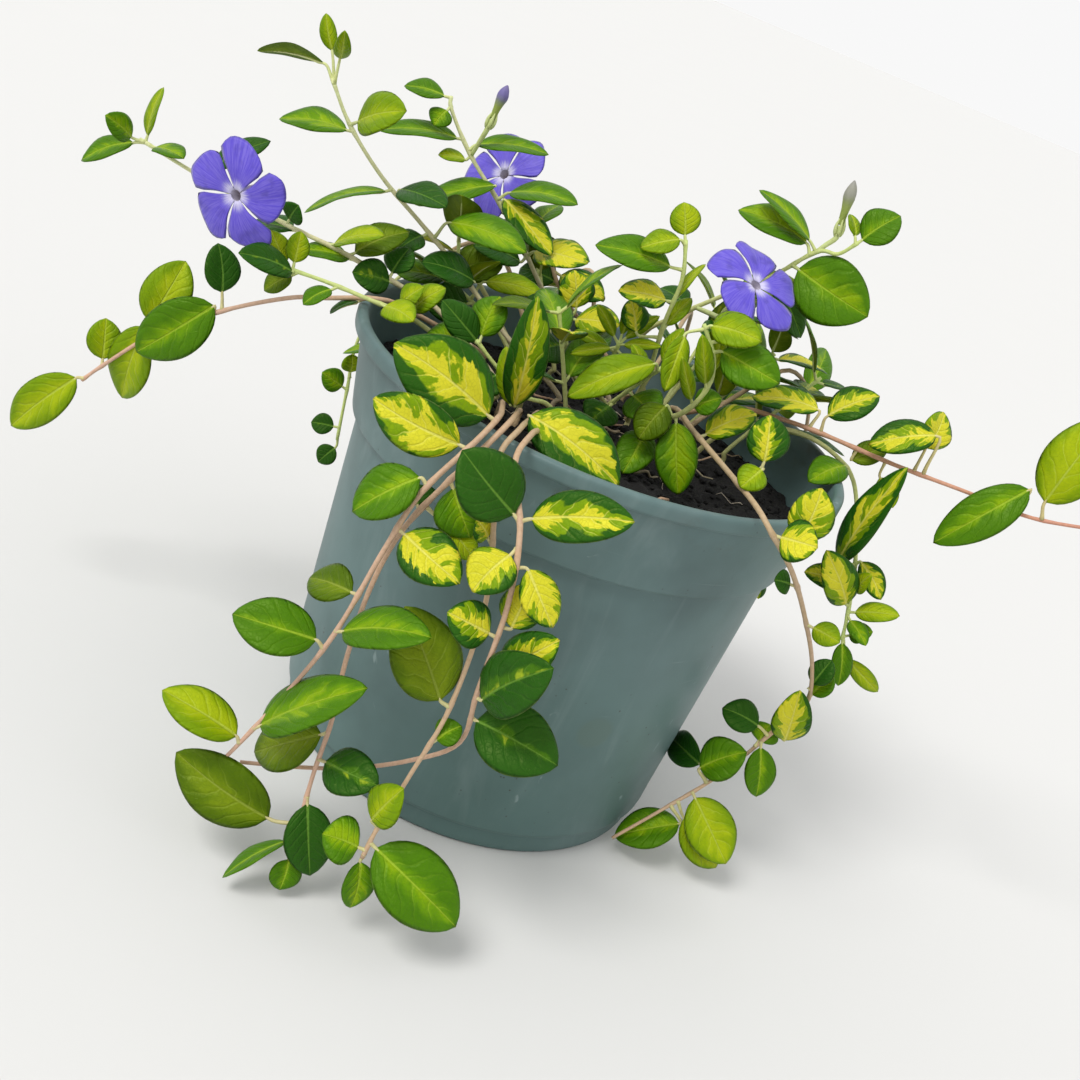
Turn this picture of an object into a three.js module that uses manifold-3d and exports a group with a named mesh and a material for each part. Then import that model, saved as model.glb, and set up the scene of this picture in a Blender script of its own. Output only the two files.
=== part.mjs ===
// Potted lesser periwinkle: a nursery pot filled with soil, with leafy trailing stems, flowers and buds.
// Millimetres, +Z up, the pot's base on z = 0, the viewer in front at -Y.
import * as THREE from "three";
import { mergeVertices } from "three/addons/utils/BufferGeometryUtils.js";
import Module from "manifold-3d";

const wasm = await Module();
wasm.setup();

// Pot
const POT_HEIGHT = 130;
const LIP_RADIUS = 78;
const LIP_HEIGHT = 4.8;
const LIP_WIDTH = 3.2;
const COLLAR_TOP_RADIUS = 75.5;
const COLLAR_FOOT_RADIUS = 71.2;
const COLLAR_HEIGHT = 28.5;
const BODY_TOP_RADIUS = 68.6;
const BODY_FOOT_RADIUS = 63.4;
const FOOT_LINE_HEIGHT = 8;
const BASE_RADIUS = 61.6;
const WALL = 1.6;
const ROUND_SIDES = 36;
const DRAIN_HOLES = 6;
const DRAIN_RADIUS = 4.5;
const DRAIN_CIRCLE = 48;
const DRAIN_SIDES = 10;

// Soil
const SOIL_TOP = 112.5;
const SOIL_GAP = 0.35;
const SOIL_RINGS = [16, 32, 48, 61];
const HOLE_DEPTH = 20;
const HOLE_GAP = 0.5;
const HOLE_SIDES = 6;

// Leafy stems
const STEM_SIDES = 5;
const STEM_STEP = 17;
const STEM_FOOT_RADIUS = 1.15;
const STEM_TIP_RADIUS = 0.65;
const PETIOLE_RADIUS = 0.45;
const BLADE_THICKNESS = 1.3;
const BLADE_ARCH = 0.07;
const BLADE_FOLD = 0.16;
const LONG_BLADE = 20;
const LONG_STATIONS = [0.12, 0.42, 0.77];
const SHORT_STATIONS = [0.2, 0.64];
const ROOT_OFFSET = 0.3;
const CLEARANCE = 0.3;

// The viewpoint that the drawn points below are read from, in picture points and millimetres.
const EYE = new THREE.Vector3(0, -380, 242);
const AIM = new THREE.Vector3(-1, 0, 75);
const ROLL = THREE.MathUtils.degToRad(22.8);
const FOCAL = 1300;
const MIDDLE = 540;
const UP = new THREE.Vector3(0, 0, 1);
const BACK = EYE.clone().sub(AIM).normalize();
const LEVEL = UP.clone().cross(BACK).normalize();
const RISE = BACK.clone().cross(LEVEL);
const ACROSS = LEVEL.clone().multiplyScalar(Math.cos(ROLL)).addScaledVector(RISE, Math.sin(ROLL));
const UPWARD = RISE.clone().multiplyScalar(Math.cos(ROLL)).addScaledVector(LEVEL, -Math.sin(ROLL));

// The point in space seen at the picture point (across, down) and lying at depth y.
function seenAt(across, down, y) {
  const ray = BACK.clone().negate();
  ray.addScaledVector(ACROSS, (across - MIDDLE) / FOCAL);
  ray.addScaledVector(UPWARD, (MIDDLE - down) / FOCAL);
  return EYE.clone().addScaledVector(ray, (y - EYE.y) / ray.y);
}

// The picture point at which a point in space is seen.
function pictureOf(point) {
  const offset = point.clone().sub(EYE);
  const scale = -FOCAL / offset.dot(BACK);
  return [MIDDLE + scale * offset.dot(ACROSS), MIDDLE - scale * offset.dot(UPWARD)];
}

// A steady scatter between -1 and 1, the same for the same number.
function scatter(number) {
  const value = Math.sin(number * 12.9898 + 4.1) * 43.7585;
  return 2 * (value - Math.floor(value)) - 1;
}

// Each stem is drawn from its foot in the soil [x, y] through picture points [across, down, depth y].
// Each leaf runs from its blade's foot to its tip in the picture:
// [across, down, across, down, how far back the tip lies, turn to the sky in degrees, width, kind].
const DRAWN_STEMS = [
  {
    name: "stem_left_tall",
    foot: [-14, 12],
    route: [
      [508, 338, 12], [461, 273, 12], [424, 227, 12], [382, 177, 12], [350, 125, 10], [332, 78, 8],
    ],
    leaves: [
      [332, 50, 326, 13, 0, 0, 5, "young"],
      [340, 58, 345, 30, 2, 0, 5, "young"],
      [323, 63, 257, 51, -3, 66, 9, "green"],
      [357, 130, 279, 119, -4, 58, 13, "green"],
      [358, 122, 407, 111, -10, 35, 14, "young"],
      [392, 188, 304, 213, -8, 76, 12, "green"],
      [400, 190, 447, 208, -10, 50, 13, "dark"],
      [450, 223, 527, 253, -8, 38, 13, "green"],
      [430, 234, 398, 250, -6, 45, 11, "dark"],
      [474, 282, 421, 262, -8, 50, 15, "dark"],
    ],
  },
  {
    name: "stem_back_tall",
    foot: [0, 34],
    route: [
      [547, 297, 34], [527, 256, 34], [501, 206, 34], [471, 156, 32], [452, 111, 30], [451, 96, 30],
    ],
    leaves: [
      [456, 94, 404, 86, -3, 52, 9, "green"],
      [449, 105, 434, 126, -4, 20, 8, "green"],
      [463, 138, 378, 130, -5, 60, 11, "green"],
      [477, 145, 549, 155, -4, 62, 11, "green"],
      [465, 160, 438, 155, -4, 55, 7, "young"],
      [495, 186, 415, 205, -8, 52, 11, "green"],
      [510, 193, 578, 205, -6, 58, 13, "green"],
      [505, 200, 552, 256, -10, 30, 11, "variegated"],
      [535, 252, 588, 264, -10, 45, 14, "variegated"],
      [520, 262, 473, 246, -8, 50, 13, "dark"],
    ],
    bud: [[474, 158], [492, 119, 28], [508, 85, 28]],
  },
  {
    name: "stem_back_flower",
    foot: [6, 50],
    route: [[566, 300, 52], [549, 256, 55], [532, 214, 58]],
    leaves: [
      [545, 248, 590, 262, 2, 55, 12, "green"],
      [540, 236, 498, 222, 4, 55, 12, "dark"],
      [556, 274, 604, 300, -6, 35, 13, "variegated"],
      [560, 282, 520, 268, 6, 55, 13, "dark"],
    ],
    flower: { stalk: [[532, 216], [520, 190, 66]], face: [505, 175, 56], petal: [547, 160, 56] },
  },
  {
    name: "stem_left_flower",
    foot: [-34, 3],
    route: [
      [436, 308, 2], [404, 288, 0], [340, 251, -6], [293, 228, -8], [240, 199, -8], [183, 166, -6],
      [140, 139, -4],
    ],
    leaves: [
      [133, 143, 81, 161, -4, 50, 9, "green"],
      [131, 137, 105, 115, -2, 20, 8, "green"],
      [142, 136, 164, 87, 3, 60, 7, "young"],
      [150, 144, 184, 159, -6, 55, 9, "green"],
      [214, 168, 271, 141, 8, 50, 10, "dark"],
      [287, 222, 299, 205, -3, 20, 8, "dark"],
      [326, 250, 385, 236, -5, 55, 9, "young"],
      [352, 250, 410, 232, 8, 40, 12, "olive"],
      [300, 236, 246, 226, 6, 60, 11, "dark"],
      [352, 262, 300, 250, -6, 60, 11, "green"],
      [400, 284, 352, 272, -8, 45, 11, "dark"],
      [392, 280, 410, 248, 6, 35, 11, "dark"],
    ],
    flower: { stalk: [[268, 214], [262, 186, -19]], face: [237, 195, -31], petal: [251, 142, -35] },
  },
  {
    name: "stem_left_young",
    foot: [-31, -10],
    route: [[438, 338, -16], [400, 311, -20], [380, 304, -22], [332, 284, -24], [287, 268, -26]],
    leaves: [
      [283, 264, 271, 230, 1, 15, 7, "young"],
      [289, 264, 301, 231, 3, 15, 7, "young"],
      [292, 272, 238, 253, -4, 38, 10, "dark"],
      [296, 276, 264, 291, -4, 40, 8, "olive"],
      [408, 314, 446, 288, 3, 35, 9, "young"],
      [396, 306, 424, 287, 4, 40, 8, "young"],
      [380, 308, 414, 322, -8, 35, 10, "young"],
      [340, 290, 303, 305, -6, 55, 9, "green"],
    ],
  },
  {
    name: "stem_far_left",
    foot: [-42, 20],
    route: [
      [408, 310, -8], [377, 299, -17], [327, 298, -18], [288, 298, -16], [222, 311, -15], [153, 335, -15],
      [102, 366, -14], [82, 380, -14],
    ],
    leaves: [
      [222, 292, 218, 243, 2, 15, 11, "dark"],
      [214, 306, 136, 352, -4, 5, 17, "green"],
      [150, 322, 186, 261, 9, 10, 15, "young"],
      [145, 327, 122, 398, -10, 5, 15, "young"],
      [99, 360, 106, 318, 4, 10, 11, "young"],
      [76, 378, 11, 426, -3, 10, 14, "young"],
      [365, 300, 330, 314, -6, 55, 10, "dark"],
    ],
  },
  {
    name: "stem_left_hanging",
    foot: [-33, 34],
    route: [
      [472, 272, 42], [444, 254, 50], [394, 282, 60], [358, 340, 62], [347, 390, 58], [337, 440, 54],
    ],
    leaves: [
      [346, 392, 322, 372, -4, 10, 9, "green"],
      [348, 380, 352, 354, 3, 15, 8, "young"],
      [338, 430, 311, 422, 0, 10, 8, "dark"],
      [335, 448, 318, 462, -2, 10, 8, "dark"],
    ],
  },
  {
    name: "trail_front_left",
    foot: [-27, -17],
    route: [
      [502, 409, -50], [498, 418, -74], [474, 443, -87], [421, 493, -95], [384, 550, -99], [328, 643, -102],
      [254, 728, -104], [196, 786, -106],
    ],
    leaves: [
      [497, 425, 394, 343, -6, 8, 20, "variegated"],
      [465, 446, 373, 398, 2, 40, 14, "variegated"],
      [420, 478, 352, 512, -4, 25, 14, "green"],
      [391, 527, 460, 584, -8, 12, 14, "variegated"],
      [356, 592, 309, 578, 8, 20, 11, "olive"],
      [316, 640, 232, 614, -4, 18, 15, "green"],
      [336, 634, 432, 638, -8, 30, 13, "green"],
      [236, 736, 162, 690, -2, 25, 13, "young"],
      [252, 724, 368, 688, -5, 32, 15, "green"],
    ],
  },
  {
    name: "trail_left_side",
    foot: [-21, -18],
    route: [
      [515, 416, -50], [509, 423, -74], [486, 446, -83], [450, 480, -88], [401, 532, -91], [369, 591, -93], [346, 660, -96], [332, 720, -100],
      [314, 772, -103], [300, 820, -106], [290, 856, -109],
    ],
    leaves: [
      [446, 478, 470, 538, -2, 10, 14, "green"],
      [420, 515, 412, 484, 6, 20, 11, "dark"],
      [448, 528, 474, 560, -2, 10, 9, "young"],
      [318, 762, 379, 786, -6, 12, 13, "dark"],
      [300, 794, 310, 876, -5, 5, 13, "dark"],
      [292, 850, 279, 890, -4, 20, 9, "green"],
      [286, 842, 222, 878, -10, 62, 9, "green"],
      [322, 732, 254, 752, 6, 15, 15, "olive"],
      [268, 818, 176, 752, 4, 10, 17, "olive"],
    ],
  },
  {
    name: "trail_front_middle",
    foot: [-12, -20],
    route: [
      [540, 430, -50], [531, 435, -74], [515, 463, -88], [520, 530, -99], [508, 605, -104], [478, 690, -104], [460, 742, -98],
      [412, 760, -94], [352, 768, -93], [296, 767, -95], [240, 762, -98],
    ],
    leaves: [
      [530, 416, 619, 487, -5, 0, 18, "variegated"],
      [532, 519, 635, 522, -3, 12, 13, "variegated"],
      [514, 522, 462, 450, -2, 10, 17, "dark"],
      [522, 552, 472, 592, -8, 18, 13, "variegated"],
      [528, 570, 553, 628, -3, 15, 10, "variegated"],
      [500, 636, 447, 612, -5, 15, 12, "variegated"],
      [512, 628, 534, 584, 4, 15, 11, "variegated"],
      [502, 668, 560, 640, -4, 12, 12, "variegated"],
      [482, 700, 554, 668, -6, 8, 16, "dark"],
      [474, 716, 558, 766, -4, 10, 18, "dark"],
    ],
  },
  {
    name: "trail_front_low",
    foot: [-16, -13],
    route: [
      [527, 422, -50], [520, 429, -74], [499, 457, -84], [494, 520, -91], [489, 585, -93], [474, 645, -96],
      [446, 716, -102], [412, 772, -106], [378, 827, -111], [362, 858, -113],
    ],
    leaves: [
      [440, 700, 405, 606, -2, 5, 18, "olive"],
      [496, 548, 476, 520, 3, 20, 10, "variegated"],
      [372, 820, 404, 788, -2, 20, 11, "young"],
      [366, 848, 322, 834, -3, 15, 13, "green"],
      [360, 862, 350, 908, -3, 25, 9, "green"],
      [376, 848, 456, 927, -2, 5, 19, "green"],
      [430, 742, 462, 726, 4, 20, 8, "green"],
    ],
  },
  {
    name: "trail_right_long",
    foot: [22, 30],
    route: [
      [690, 412, 22], [738, 408, 16], [775, 417, 11], [820, 433, 8], [895, 465, 4], [969, 493, 2],
      [1032, 518, 0], [1110, 532, -4],
    ],
    leaves: [
      [828, 416, 880, 396, 4, 30, 12, "variegated"],
      [818, 410, 752, 397, 4, 50, 13, "variegated"],
      [852, 460, 888, 446, 4, 40, 8, "olive"],
      [936, 436, 868, 445, -2, 28, 12, "variegated"],
      [926, 448, 944, 412, 4, 35, 11, "variegated"],
      [1029, 490, 933, 543, -4, 32, 14, "green"],
      [1045, 502, 1108, 418, 3, 5, 18, "young"],
      [1112, 520, 1172, 500, 4, 30, 14, "young"],
      [1108, 540, 1150, 588, -4, 20, 13, "green"],
      [880, 478, 893, 508, -3, 20, 7, "young"],
    ],
  },
  {
    name: "trail_right_low",
    foot: [16, 8],
    route: [
      [672, 408, -4], [694, 432, -18], [735, 480, -46], [756, 506, -61], [770, 530, -68], [792, 572, -62],
      [805, 618, -46], [812, 665, -32], [806, 704, -25], [775, 730, -22], [721, 774, -24], [663, 809, -30],
      [612, 838, -37],
    ],
    leaves: [
      [705, 434, 757, 414, 4, 38, 12, "variegated"],
      [764, 462, 770, 415, 4, 15, 12, "variegated"],
      [762, 470, 740, 488, -4, 20, 9, "young"],
      [776, 536, 818, 548, -5, 15, 12, "variegated"],
      [799, 540, 822, 488, 4, 12, 12, "variegated"],
      [799, 586, 774, 580, -3, 20, 7, "dark"],
      [806, 625, 840, 643, -4, 25, 8, "young"],
      [815, 690, 832, 660, 4, 15, 8, "dark"],
      [810, 700, 834, 677, 3, 20, 8, "green"],
      [758, 726, 722, 708, 2, 18, 11, "dark"],
      [785, 740, 800, 690, -4, 12, 12, "variegated"],
      [765, 744, 756, 797, -3, 12, 10, "green"],
      [752, 748, 770, 724, 4, 15, 10, "green"],
      [700, 768, 747, 752, -2, 12, 14, "green"],
      [700, 764, 671, 737, 20, 12, 11, "dark"],
      [679, 824, 614, 836, -4, 25, 14, "green"],
      [684, 818, 716, 868, -3, 10, 13, "young"],
      [695, 790, 726, 864, -8, 8, 16, "young"],
    ],
  },
  {
    name: "trail_right_side",
    foot: [34, 13],
    route: [
      [738, 426, 10], [802, 434, 12], [847, 468, 12], [857, 510, 10], [855, 565, 4], [848, 612, 0],
      [842, 640, -2],
    ],
    leaves: [
      [838, 562, 908, 467, -12, 22, 11, "variegated"],
      [861, 562, 881, 600, -4, 20, 8, "variegated"],
      [852, 611, 900, 616, -4, 35, 8, "young"],
      [846, 604, 826, 550, -12, 15, 12, "variegated"],
      [836, 582, 804, 572, -8, 20, 8, "variegated"],
      [845, 466, 808, 482, -8, 25, 11, "green"],
      [847, 636, 873, 632, -4, 20, 7, "green"],
      [845, 642, 838, 686, -4, 15, 7, "green"],
      [848, 660, 878, 692, 0, 20, 6, "young"],
      [852, 618, 866, 646, -6, 20, 6, "green"],
      [850, 596, 872, 574, -6, 20, 6, "young"],
    ],
  },
  {
    name: "shoot_right_upright",
    foot: [10, 16],
    route: [[631, 404, 2], [647, 378, -2], [664, 324, -6], [682, 280, -8], [686, 240, -8]],
    leaves: [
      [670, 267, 595, 245, -4, 40, 12, "green"],
      [680, 240, 640, 248, -4, 40, 9, "young"],
      [685, 235, 684, 202, 2, 10, 9, "young"],
      [668, 299, 618, 291, -5, 45, 11, "variegated"],
      [636, 332, 631, 299, 4, 25, 9, "variegated"],
      [662, 330, 692, 298, 5, 30, 6, "young"],
      [648, 376, 618, 356, 4, 30, 7, "young"],
      [672, 300, 706, 264, 4, 55, 5, "young"],
    ],
  },
  {
    name: "shoot_right_flower",
    foot: [14, 36],
    route: [
      [640, 340, 24], [682, 314, 17], [720, 297, 17], [769, 278, 16], [816, 252, 13], [838, 254, 10],
      [858, 243, 8],
    ],
    leaves: [
      [793, 261, 868, 317, -8, 5, 20, "green"],
      [806, 243, 738, 210, 3, 48, 13, "green"],
      [809, 240, 759, 190, 6, 62, 10, "green"],
      [862, 241, 901, 216, 2, 25, 12, "green"],
      [855, 236, 850, 214, 4, 30, 6, "young"],
      [776, 283, 801, 338, 4, 25, 10, "dark"],
      [733, 290, 800, 284, 8, 60, 11, "young"],
      [690, 306, 660, 288, 6, 50, 11, "dark"],
    ],
    flower: { stalk: [[697, 308], [728, 312, 3]], face: [755, 286, -4], petal: [721, 257, -4] },
    bud: [[816, 252], [840, 226, 13], [855, 180, 14]],
  },
  {
    name: "shoot_right_young",
    foot: [12, -4],
    route: [[652, 424, -14], [684, 412, -22], [706, 390, -24], [714, 362, -24], [704, 324, -24]],
    leaves: [
      [702, 388, 702, 334, -6, 20, 6, "young"],
      [712, 326, 762, 342, -6, 25, 11, "young"],
      [684, 336, 664, 392, -8, 20, 7.5, "young"],
      [708, 378, 722, 330, -8, 20, 4.5, "young"],
      [690, 404, 682, 356, -8, 20, 4.5, "young"],
      [722, 352, 780, 384, -6, 20, 14, "green"],
      [690, 411, 722, 398, 0, 30, 9, "green"],
      [666, 406, 638, 440, -6, 10, 11, "olive"],
      [677, 418, 678, 495, -6, 5, 12.5, "green"],
      [652, 430, 622, 474, -4, 10, 12, "green"],
      [720, 340, 745, 314, 6, 30, 11, "young"],
    ],
  },
  {
    name: "shoot_centre_light",
    foot: [3, 2],
    route: [[604, 410, -8], [632, 388, -14], [662, 368, -18]],
    leaves: [
      [655, 364, 567, 397, -10, 28, 12, "young"],
      [664, 364, 684, 328, 2, 30, 6, "young"],
      [646, 378, 632, 344, 2, 30, 5, "young"],
      [612, 402, 590, 424, -8, 20, 12, "dark"],
      [628, 392, 655, 420, -8, 20, 13, "green"],
    ],
  },
  {
    name: "shoot_centre_narrow",
    foot: [-4, -24],
    route: [[550, 407, -28], [534, 400, -36], [519, 397, -42]],
    leaves: [
      [514, 406, 538, 296, -4, 20, 12, "variegated"],
      [510, 404, 506, 346, 4, 25, 8, "young"],
    ],
  },
  {
    name: "shoot_rosette",
    foot: [4, 14],
    route: [[596, 386, 6], [610, 362, 2], [620, 342, -2]],
    leaves: [
      [614, 344, 570, 354, -4, 25, 4.5, "young"],
      [610, 349, 574, 330, -2, 25, 4.5, "young"],
      [614, 336, 597, 304, 0, 20, 4.5, "young"],
      [622, 334, 629, 300, 2, 20, 4, "young"],
      [626, 338, 660, 316, 0, 25, 4.5, "young"],
      [622, 347, 662, 347, -4, 25, 4, "young"],
      [619, 352, 646, 378, -5, 20, 4.5, "young"],
      [609, 356, 596, 388, -6, 20, 4.5, "young"],
    ],
  },
  {
    name: "shoot_centre_back",
    foot: [0, 14],
    route: [[572, 372, 14], [566, 340, 14], [570, 316, 14]],
    leaves: [
      [574, 318, 620, 326, -6, 40, 12, "variegated"],
      [576, 308, 574, 270, 2, 20, 12, "variegated"],
      [564, 318, 524, 300, -2, 45, 12, "dark"],
      [566, 344, 530, 352, -8, 30, 13, "dark"],
    ],
  },
  {
    name: "shoot_left_dark",
    foot: [-22, -12],
    route: [[520, 392, -16], [496, 366, -20], [476, 340, -22]],
    leaves: [
      [484, 346, 442, 300, -2, 20, 10, "dark"],
      [478, 338, 500, 296, 2, 25, 12, "green"],
      [470, 340, 420, 342, -6, 45, 13, "green"],
      [504, 372, 470, 390, -8, 30, 13, "dark"],
    ],
  },
  {
    name: "shoot_left_olive",
    foot: [-28, 14],
    route: [[498, 330, 20], [470, 300, 22], [448, 278, 24]],
    leaves: [
      [446, 278, 394, 270, -4, 50, 12, "green"],
      [452, 272, 504, 262, 2, 50, 14, "olive"],
      [486, 282, 544, 296, 2, 40, 9, "young"],
      [470, 306, 424, 302, -6, 50, 13, "dark"],
    ],
  },
];

// Shoots that fill the crown, on real places: [foot x, foot y, top x, top y, top z, pairs of leaves].
const CROWN_SHOOTS = [
  [-8, -8, -22, -12, 150, 3],
  [18, 30, 30, 46, 158, 3],
  [-20, 42, -46, 58, 156, 3],
  [30, 38, 46, 42, 150, 3],
  [-50, 16, -62, 26, 150, 2],
  [20, 52, 26, 74, 150, 3],
  [44, 28, 62, 36, 150, 3],
];

// Trails that hang over the hidden back of the rim: [angle in degrees, length that hangs].
const BACK_TRAILS = [
  [38, 66],
  [74, 104],
  [104, 82],
  [136, 70],
];
const TRAIL_FOOT_RADIUS = 34;
const TRAIL_CREST = 146;
const TRAIL_REACH = 93;
// The marks of a hanging trail below its crest: how far out of its reach, the share of its drop, its sway.
const TRAIL_DROPS = [
  [-4, 0, 0.07],
  [0, 0.4, 0.03],
  [2, 0.75, 0.08],
  [1, 1, 0.02],
];
const TRAIL_HOOK = 12;

// Leaves set by rule
const RULE_LEAF_LENGTH = 22;
const RULE_LEAF_WIDTH = 11;
const RULE_LEAF_LEAN = 62;
const RULE_PETIOLE = 3;
const TRAIL_LEAF_STEP = 27;
const CROWN_LEAVES_FROM = 0.5;
const TRAIL_LEAVES_FROM = 0.4;

// Flowers
const PETALS = 5;
const PETAL_THICKNESS = 1;
const THROAT_RADIUS = 2.6;
const TUBE_FOOT_RADIUS = 1.2;
const CALYX_RADIUS = 1.7;
const CALYX_LENGTH = 3.4;
const STALK_RADIUS = 0.7;
const BUD_RADIUS = 1.9;
// Each station of a petal: how far out, and its left and right edges in degrees about its middle.
const PETAL_STATIONS = [
  [1.6, -30, 30],
  [5.5, -22, 26],
  [10, -25, 36],
  [14, -19, 37],
  [16, -4, 30],
];

// How a blade may give way to its neighbours: how far back its tip moves, and how much it turns.
const DEPTH_SHIFTS = [0, -4, 4, -8, 8, -12, 12, -16, 16];
const TURN_SHIFTS = [0, 24, -24, 48, -48];
const SHIFTS = DEPTH_SHIFTS.flatMap((depth) => TURN_SHIFTS.map((turn) => [depth, turn])).sort(
  (a, b) => Math.abs(a[0]) / 4 + Math.abs(a[1]) / 24 - Math.abs(b[0]) / 4 - Math.abs(b[1]) / 24,
);

// Solids

function solidFrom(points, triangles) {
  const vertProperties = new Float32Array(points.flatMap((p) => [p.x, p.y, p.z]));
  const triVerts = new Uint32Array(triangles.flat());
  return new wasm.Manifold(new wasm.Mesh({ numProp: 3, vertProperties, triVerts }));
}

// Joins rings of the same number of points in a closed skin with flat ends. A ring of one point is a tip.
function loft(rings) {
  const points = rings.flat();
  const triangles = [];
  const count = rings[0].length;
  let start = 0;
  for (let i = 0; i + 1 < rings.length; i++) {
    const next = start + count;
    for (let j = 0; j < count; j++) {
      const k = (j + 1) % count;
      if (rings[i + 1].length === 1) triangles.push([start + j, start + k, next]);
      else if (j % 2) triangles.push([start + j, start + k, next + j], [start + k, next + k, next + j]);
      else triangles.push([start + j, start + k, next + k], [start + j, next + k, next + j]);
    }
    start = next;
  }
  const last = rings[rings.length - 1];
  for (let j = 1; j + 1 < count; j++) {
    triangles.push([0, j + 1, j]);
    if (last.length > 1) triangles.push([start, start + j, start + j + 1]);
  }
  return solidFrom(points, triangles);
}

// A ring of points around a centre, in the plane of two unit vectors.
function ringAt(centre, first, second, radius, sides) {
  const ring = [];
  for (let i = 0; i < sides; i++) {
    const angle = (2 * Math.PI * i) / sides;
    const point = centre.clone().addScaledVector(first, radius * Math.cos(angle));
    ring.push(point.addScaledVector(second, radius * Math.sin(angle)));
  }
  return ring;
}

// A rod through points, with a radius at each.
function rod(points, radii, sides) {
  const rings = [];
  let first = new THREE.Vector3(1, 0.2, 0.1);
  points.forEach((point, i) => {
    const before = points[Math.max(0, i - 1)];
    const after = points[Math.min(points.length - 1, i + 1)];
    const along = after.clone().sub(before).normalize();
    first = first.clone().addScaledVector(along, -first.dot(along)).normalize();
    const second = along.clone().cross(first);
    rings.push(ringAt(point, first, second, radii[i], sides));
  });
  return loft(rings);
}

function turned(profile) {
  const points = profile.map(([radius, height]) => new THREE.Vector2(radius, height));
  const geometry = new THREE.LatheGeometry(points, ROUND_SIDES).rotateX(Math.PI / 2);
  geometry.deleteAttribute("normal");
  geometry.deleteAttribute("uv");
  const merged = mergeVertices(geometry, 1e-4);
  return new wasm.Manifold(
    new wasm.Mesh({
      numProp: 3,
      vertProperties: merged.attributes.position.array,
      triVerts: new Uint32Array(merged.index.array),
    }),
  );
}

function meshOf(name, solid, material) {
  const made = solid.getMesh();
  const geometry = new THREE.BufferGeometry();
  geometry.setAttribute("position", new THREE.BufferAttribute(new Float32Array(made.vertProperties), 3));
  geometry.setIndex(new THREE.BufferAttribute(new Uint32Array(made.triVerts), 1));
  geometry.computeVertexNormals();
  const mesh = new THREE.Mesh(geometry, material);
  mesh.name = name;
  return mesh;
}

// Pot and soil

// The pot's inner radius at a height, above the floor of the pot.
function innerRadius(height) {
  const step = POT_HEIGHT - COLLAR_HEIGHT;
  if (height <= step) {
    return BODY_FOOT_RADIUS - WALL + ((BODY_TOP_RADIUS - BODY_FOOT_RADIUS) * height) / step;
  }
  const share = (height - step) / (COLLAR_HEIGHT - LIP_HEIGHT);
  return COLLAR_FOOT_RADIUS - WALL + (COLLAR_TOP_RADIUS - COLLAR_FOOT_RADIUS) * share;
}

function potSolid() {
  const step = POT_HEIGHT - COLLAR_HEIGHT;
  const lipFoot = POT_HEIGHT - LIP_HEIGHT;
  let pot = turned([
    [0, 0],
    [BASE_RADIUS - 1, 0],
    [BASE_RADIUS, 1],
    [BASE_RADIUS + 0.9, FOOT_LINE_HEIGHT - 0.6],
    [BODY_FOOT_RADIUS + 0.3, FOOT_LINE_HEIGHT],
    [BODY_TOP_RADIUS, step - 1],
    [COLLAR_FOOT_RADIUS, step],
    [COLLAR_TOP_RADIUS, lipFoot],
    [LIP_RADIUS - 0.3, lipFoot + 0.4],
    [LIP_RADIUS, POT_HEIGHT - 1.2],
    [LIP_RADIUS - 1.1, POT_HEIGHT],
    [LIP_RADIUS - LIP_WIDTH, POT_HEIGHT - 0.4],
    [innerRadius(lipFoot), lipFoot - 1],
    [innerRadius(step + 1), step + 1],
    [innerRadius(step - 1), step - 1],
    [innerRadius(WALL) - 0.6, WALL],
    [0, WALL],
  ]);
  for (let i = 0; i < DRAIN_HOLES; i++) {
    const angle = (2 * Math.PI * (i + 0.5)) / DRAIN_HOLES;
    const low = new THREE.Vector3(DRAIN_CIRCLE * Math.cos(angle), DRAIN_CIRCLE * Math.sin(angle), -1);
    const high = low.clone().setZ(WALL + 1);
    pot = pot.subtract(rod([low, high], [DRAIN_RADIUS, DRAIN_RADIUS], DRAIN_SIDES));
  }
  return pot;
}

// The soil's surface: a low mound with crumbs.
function soilHeight(x, y) {
  const mound = 2.5 * Math.cos((Math.hypot(x, y) / 72) * 1.4);
  const clods = 0.7 * Math.sin(x * 0.31 + 1) * Math.cos(y * 0.27);
  return SOIL_TOP - 1 + mound + clods + 0.5 * Math.sin(x * 0.9 + y * 0.7);
}

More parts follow.
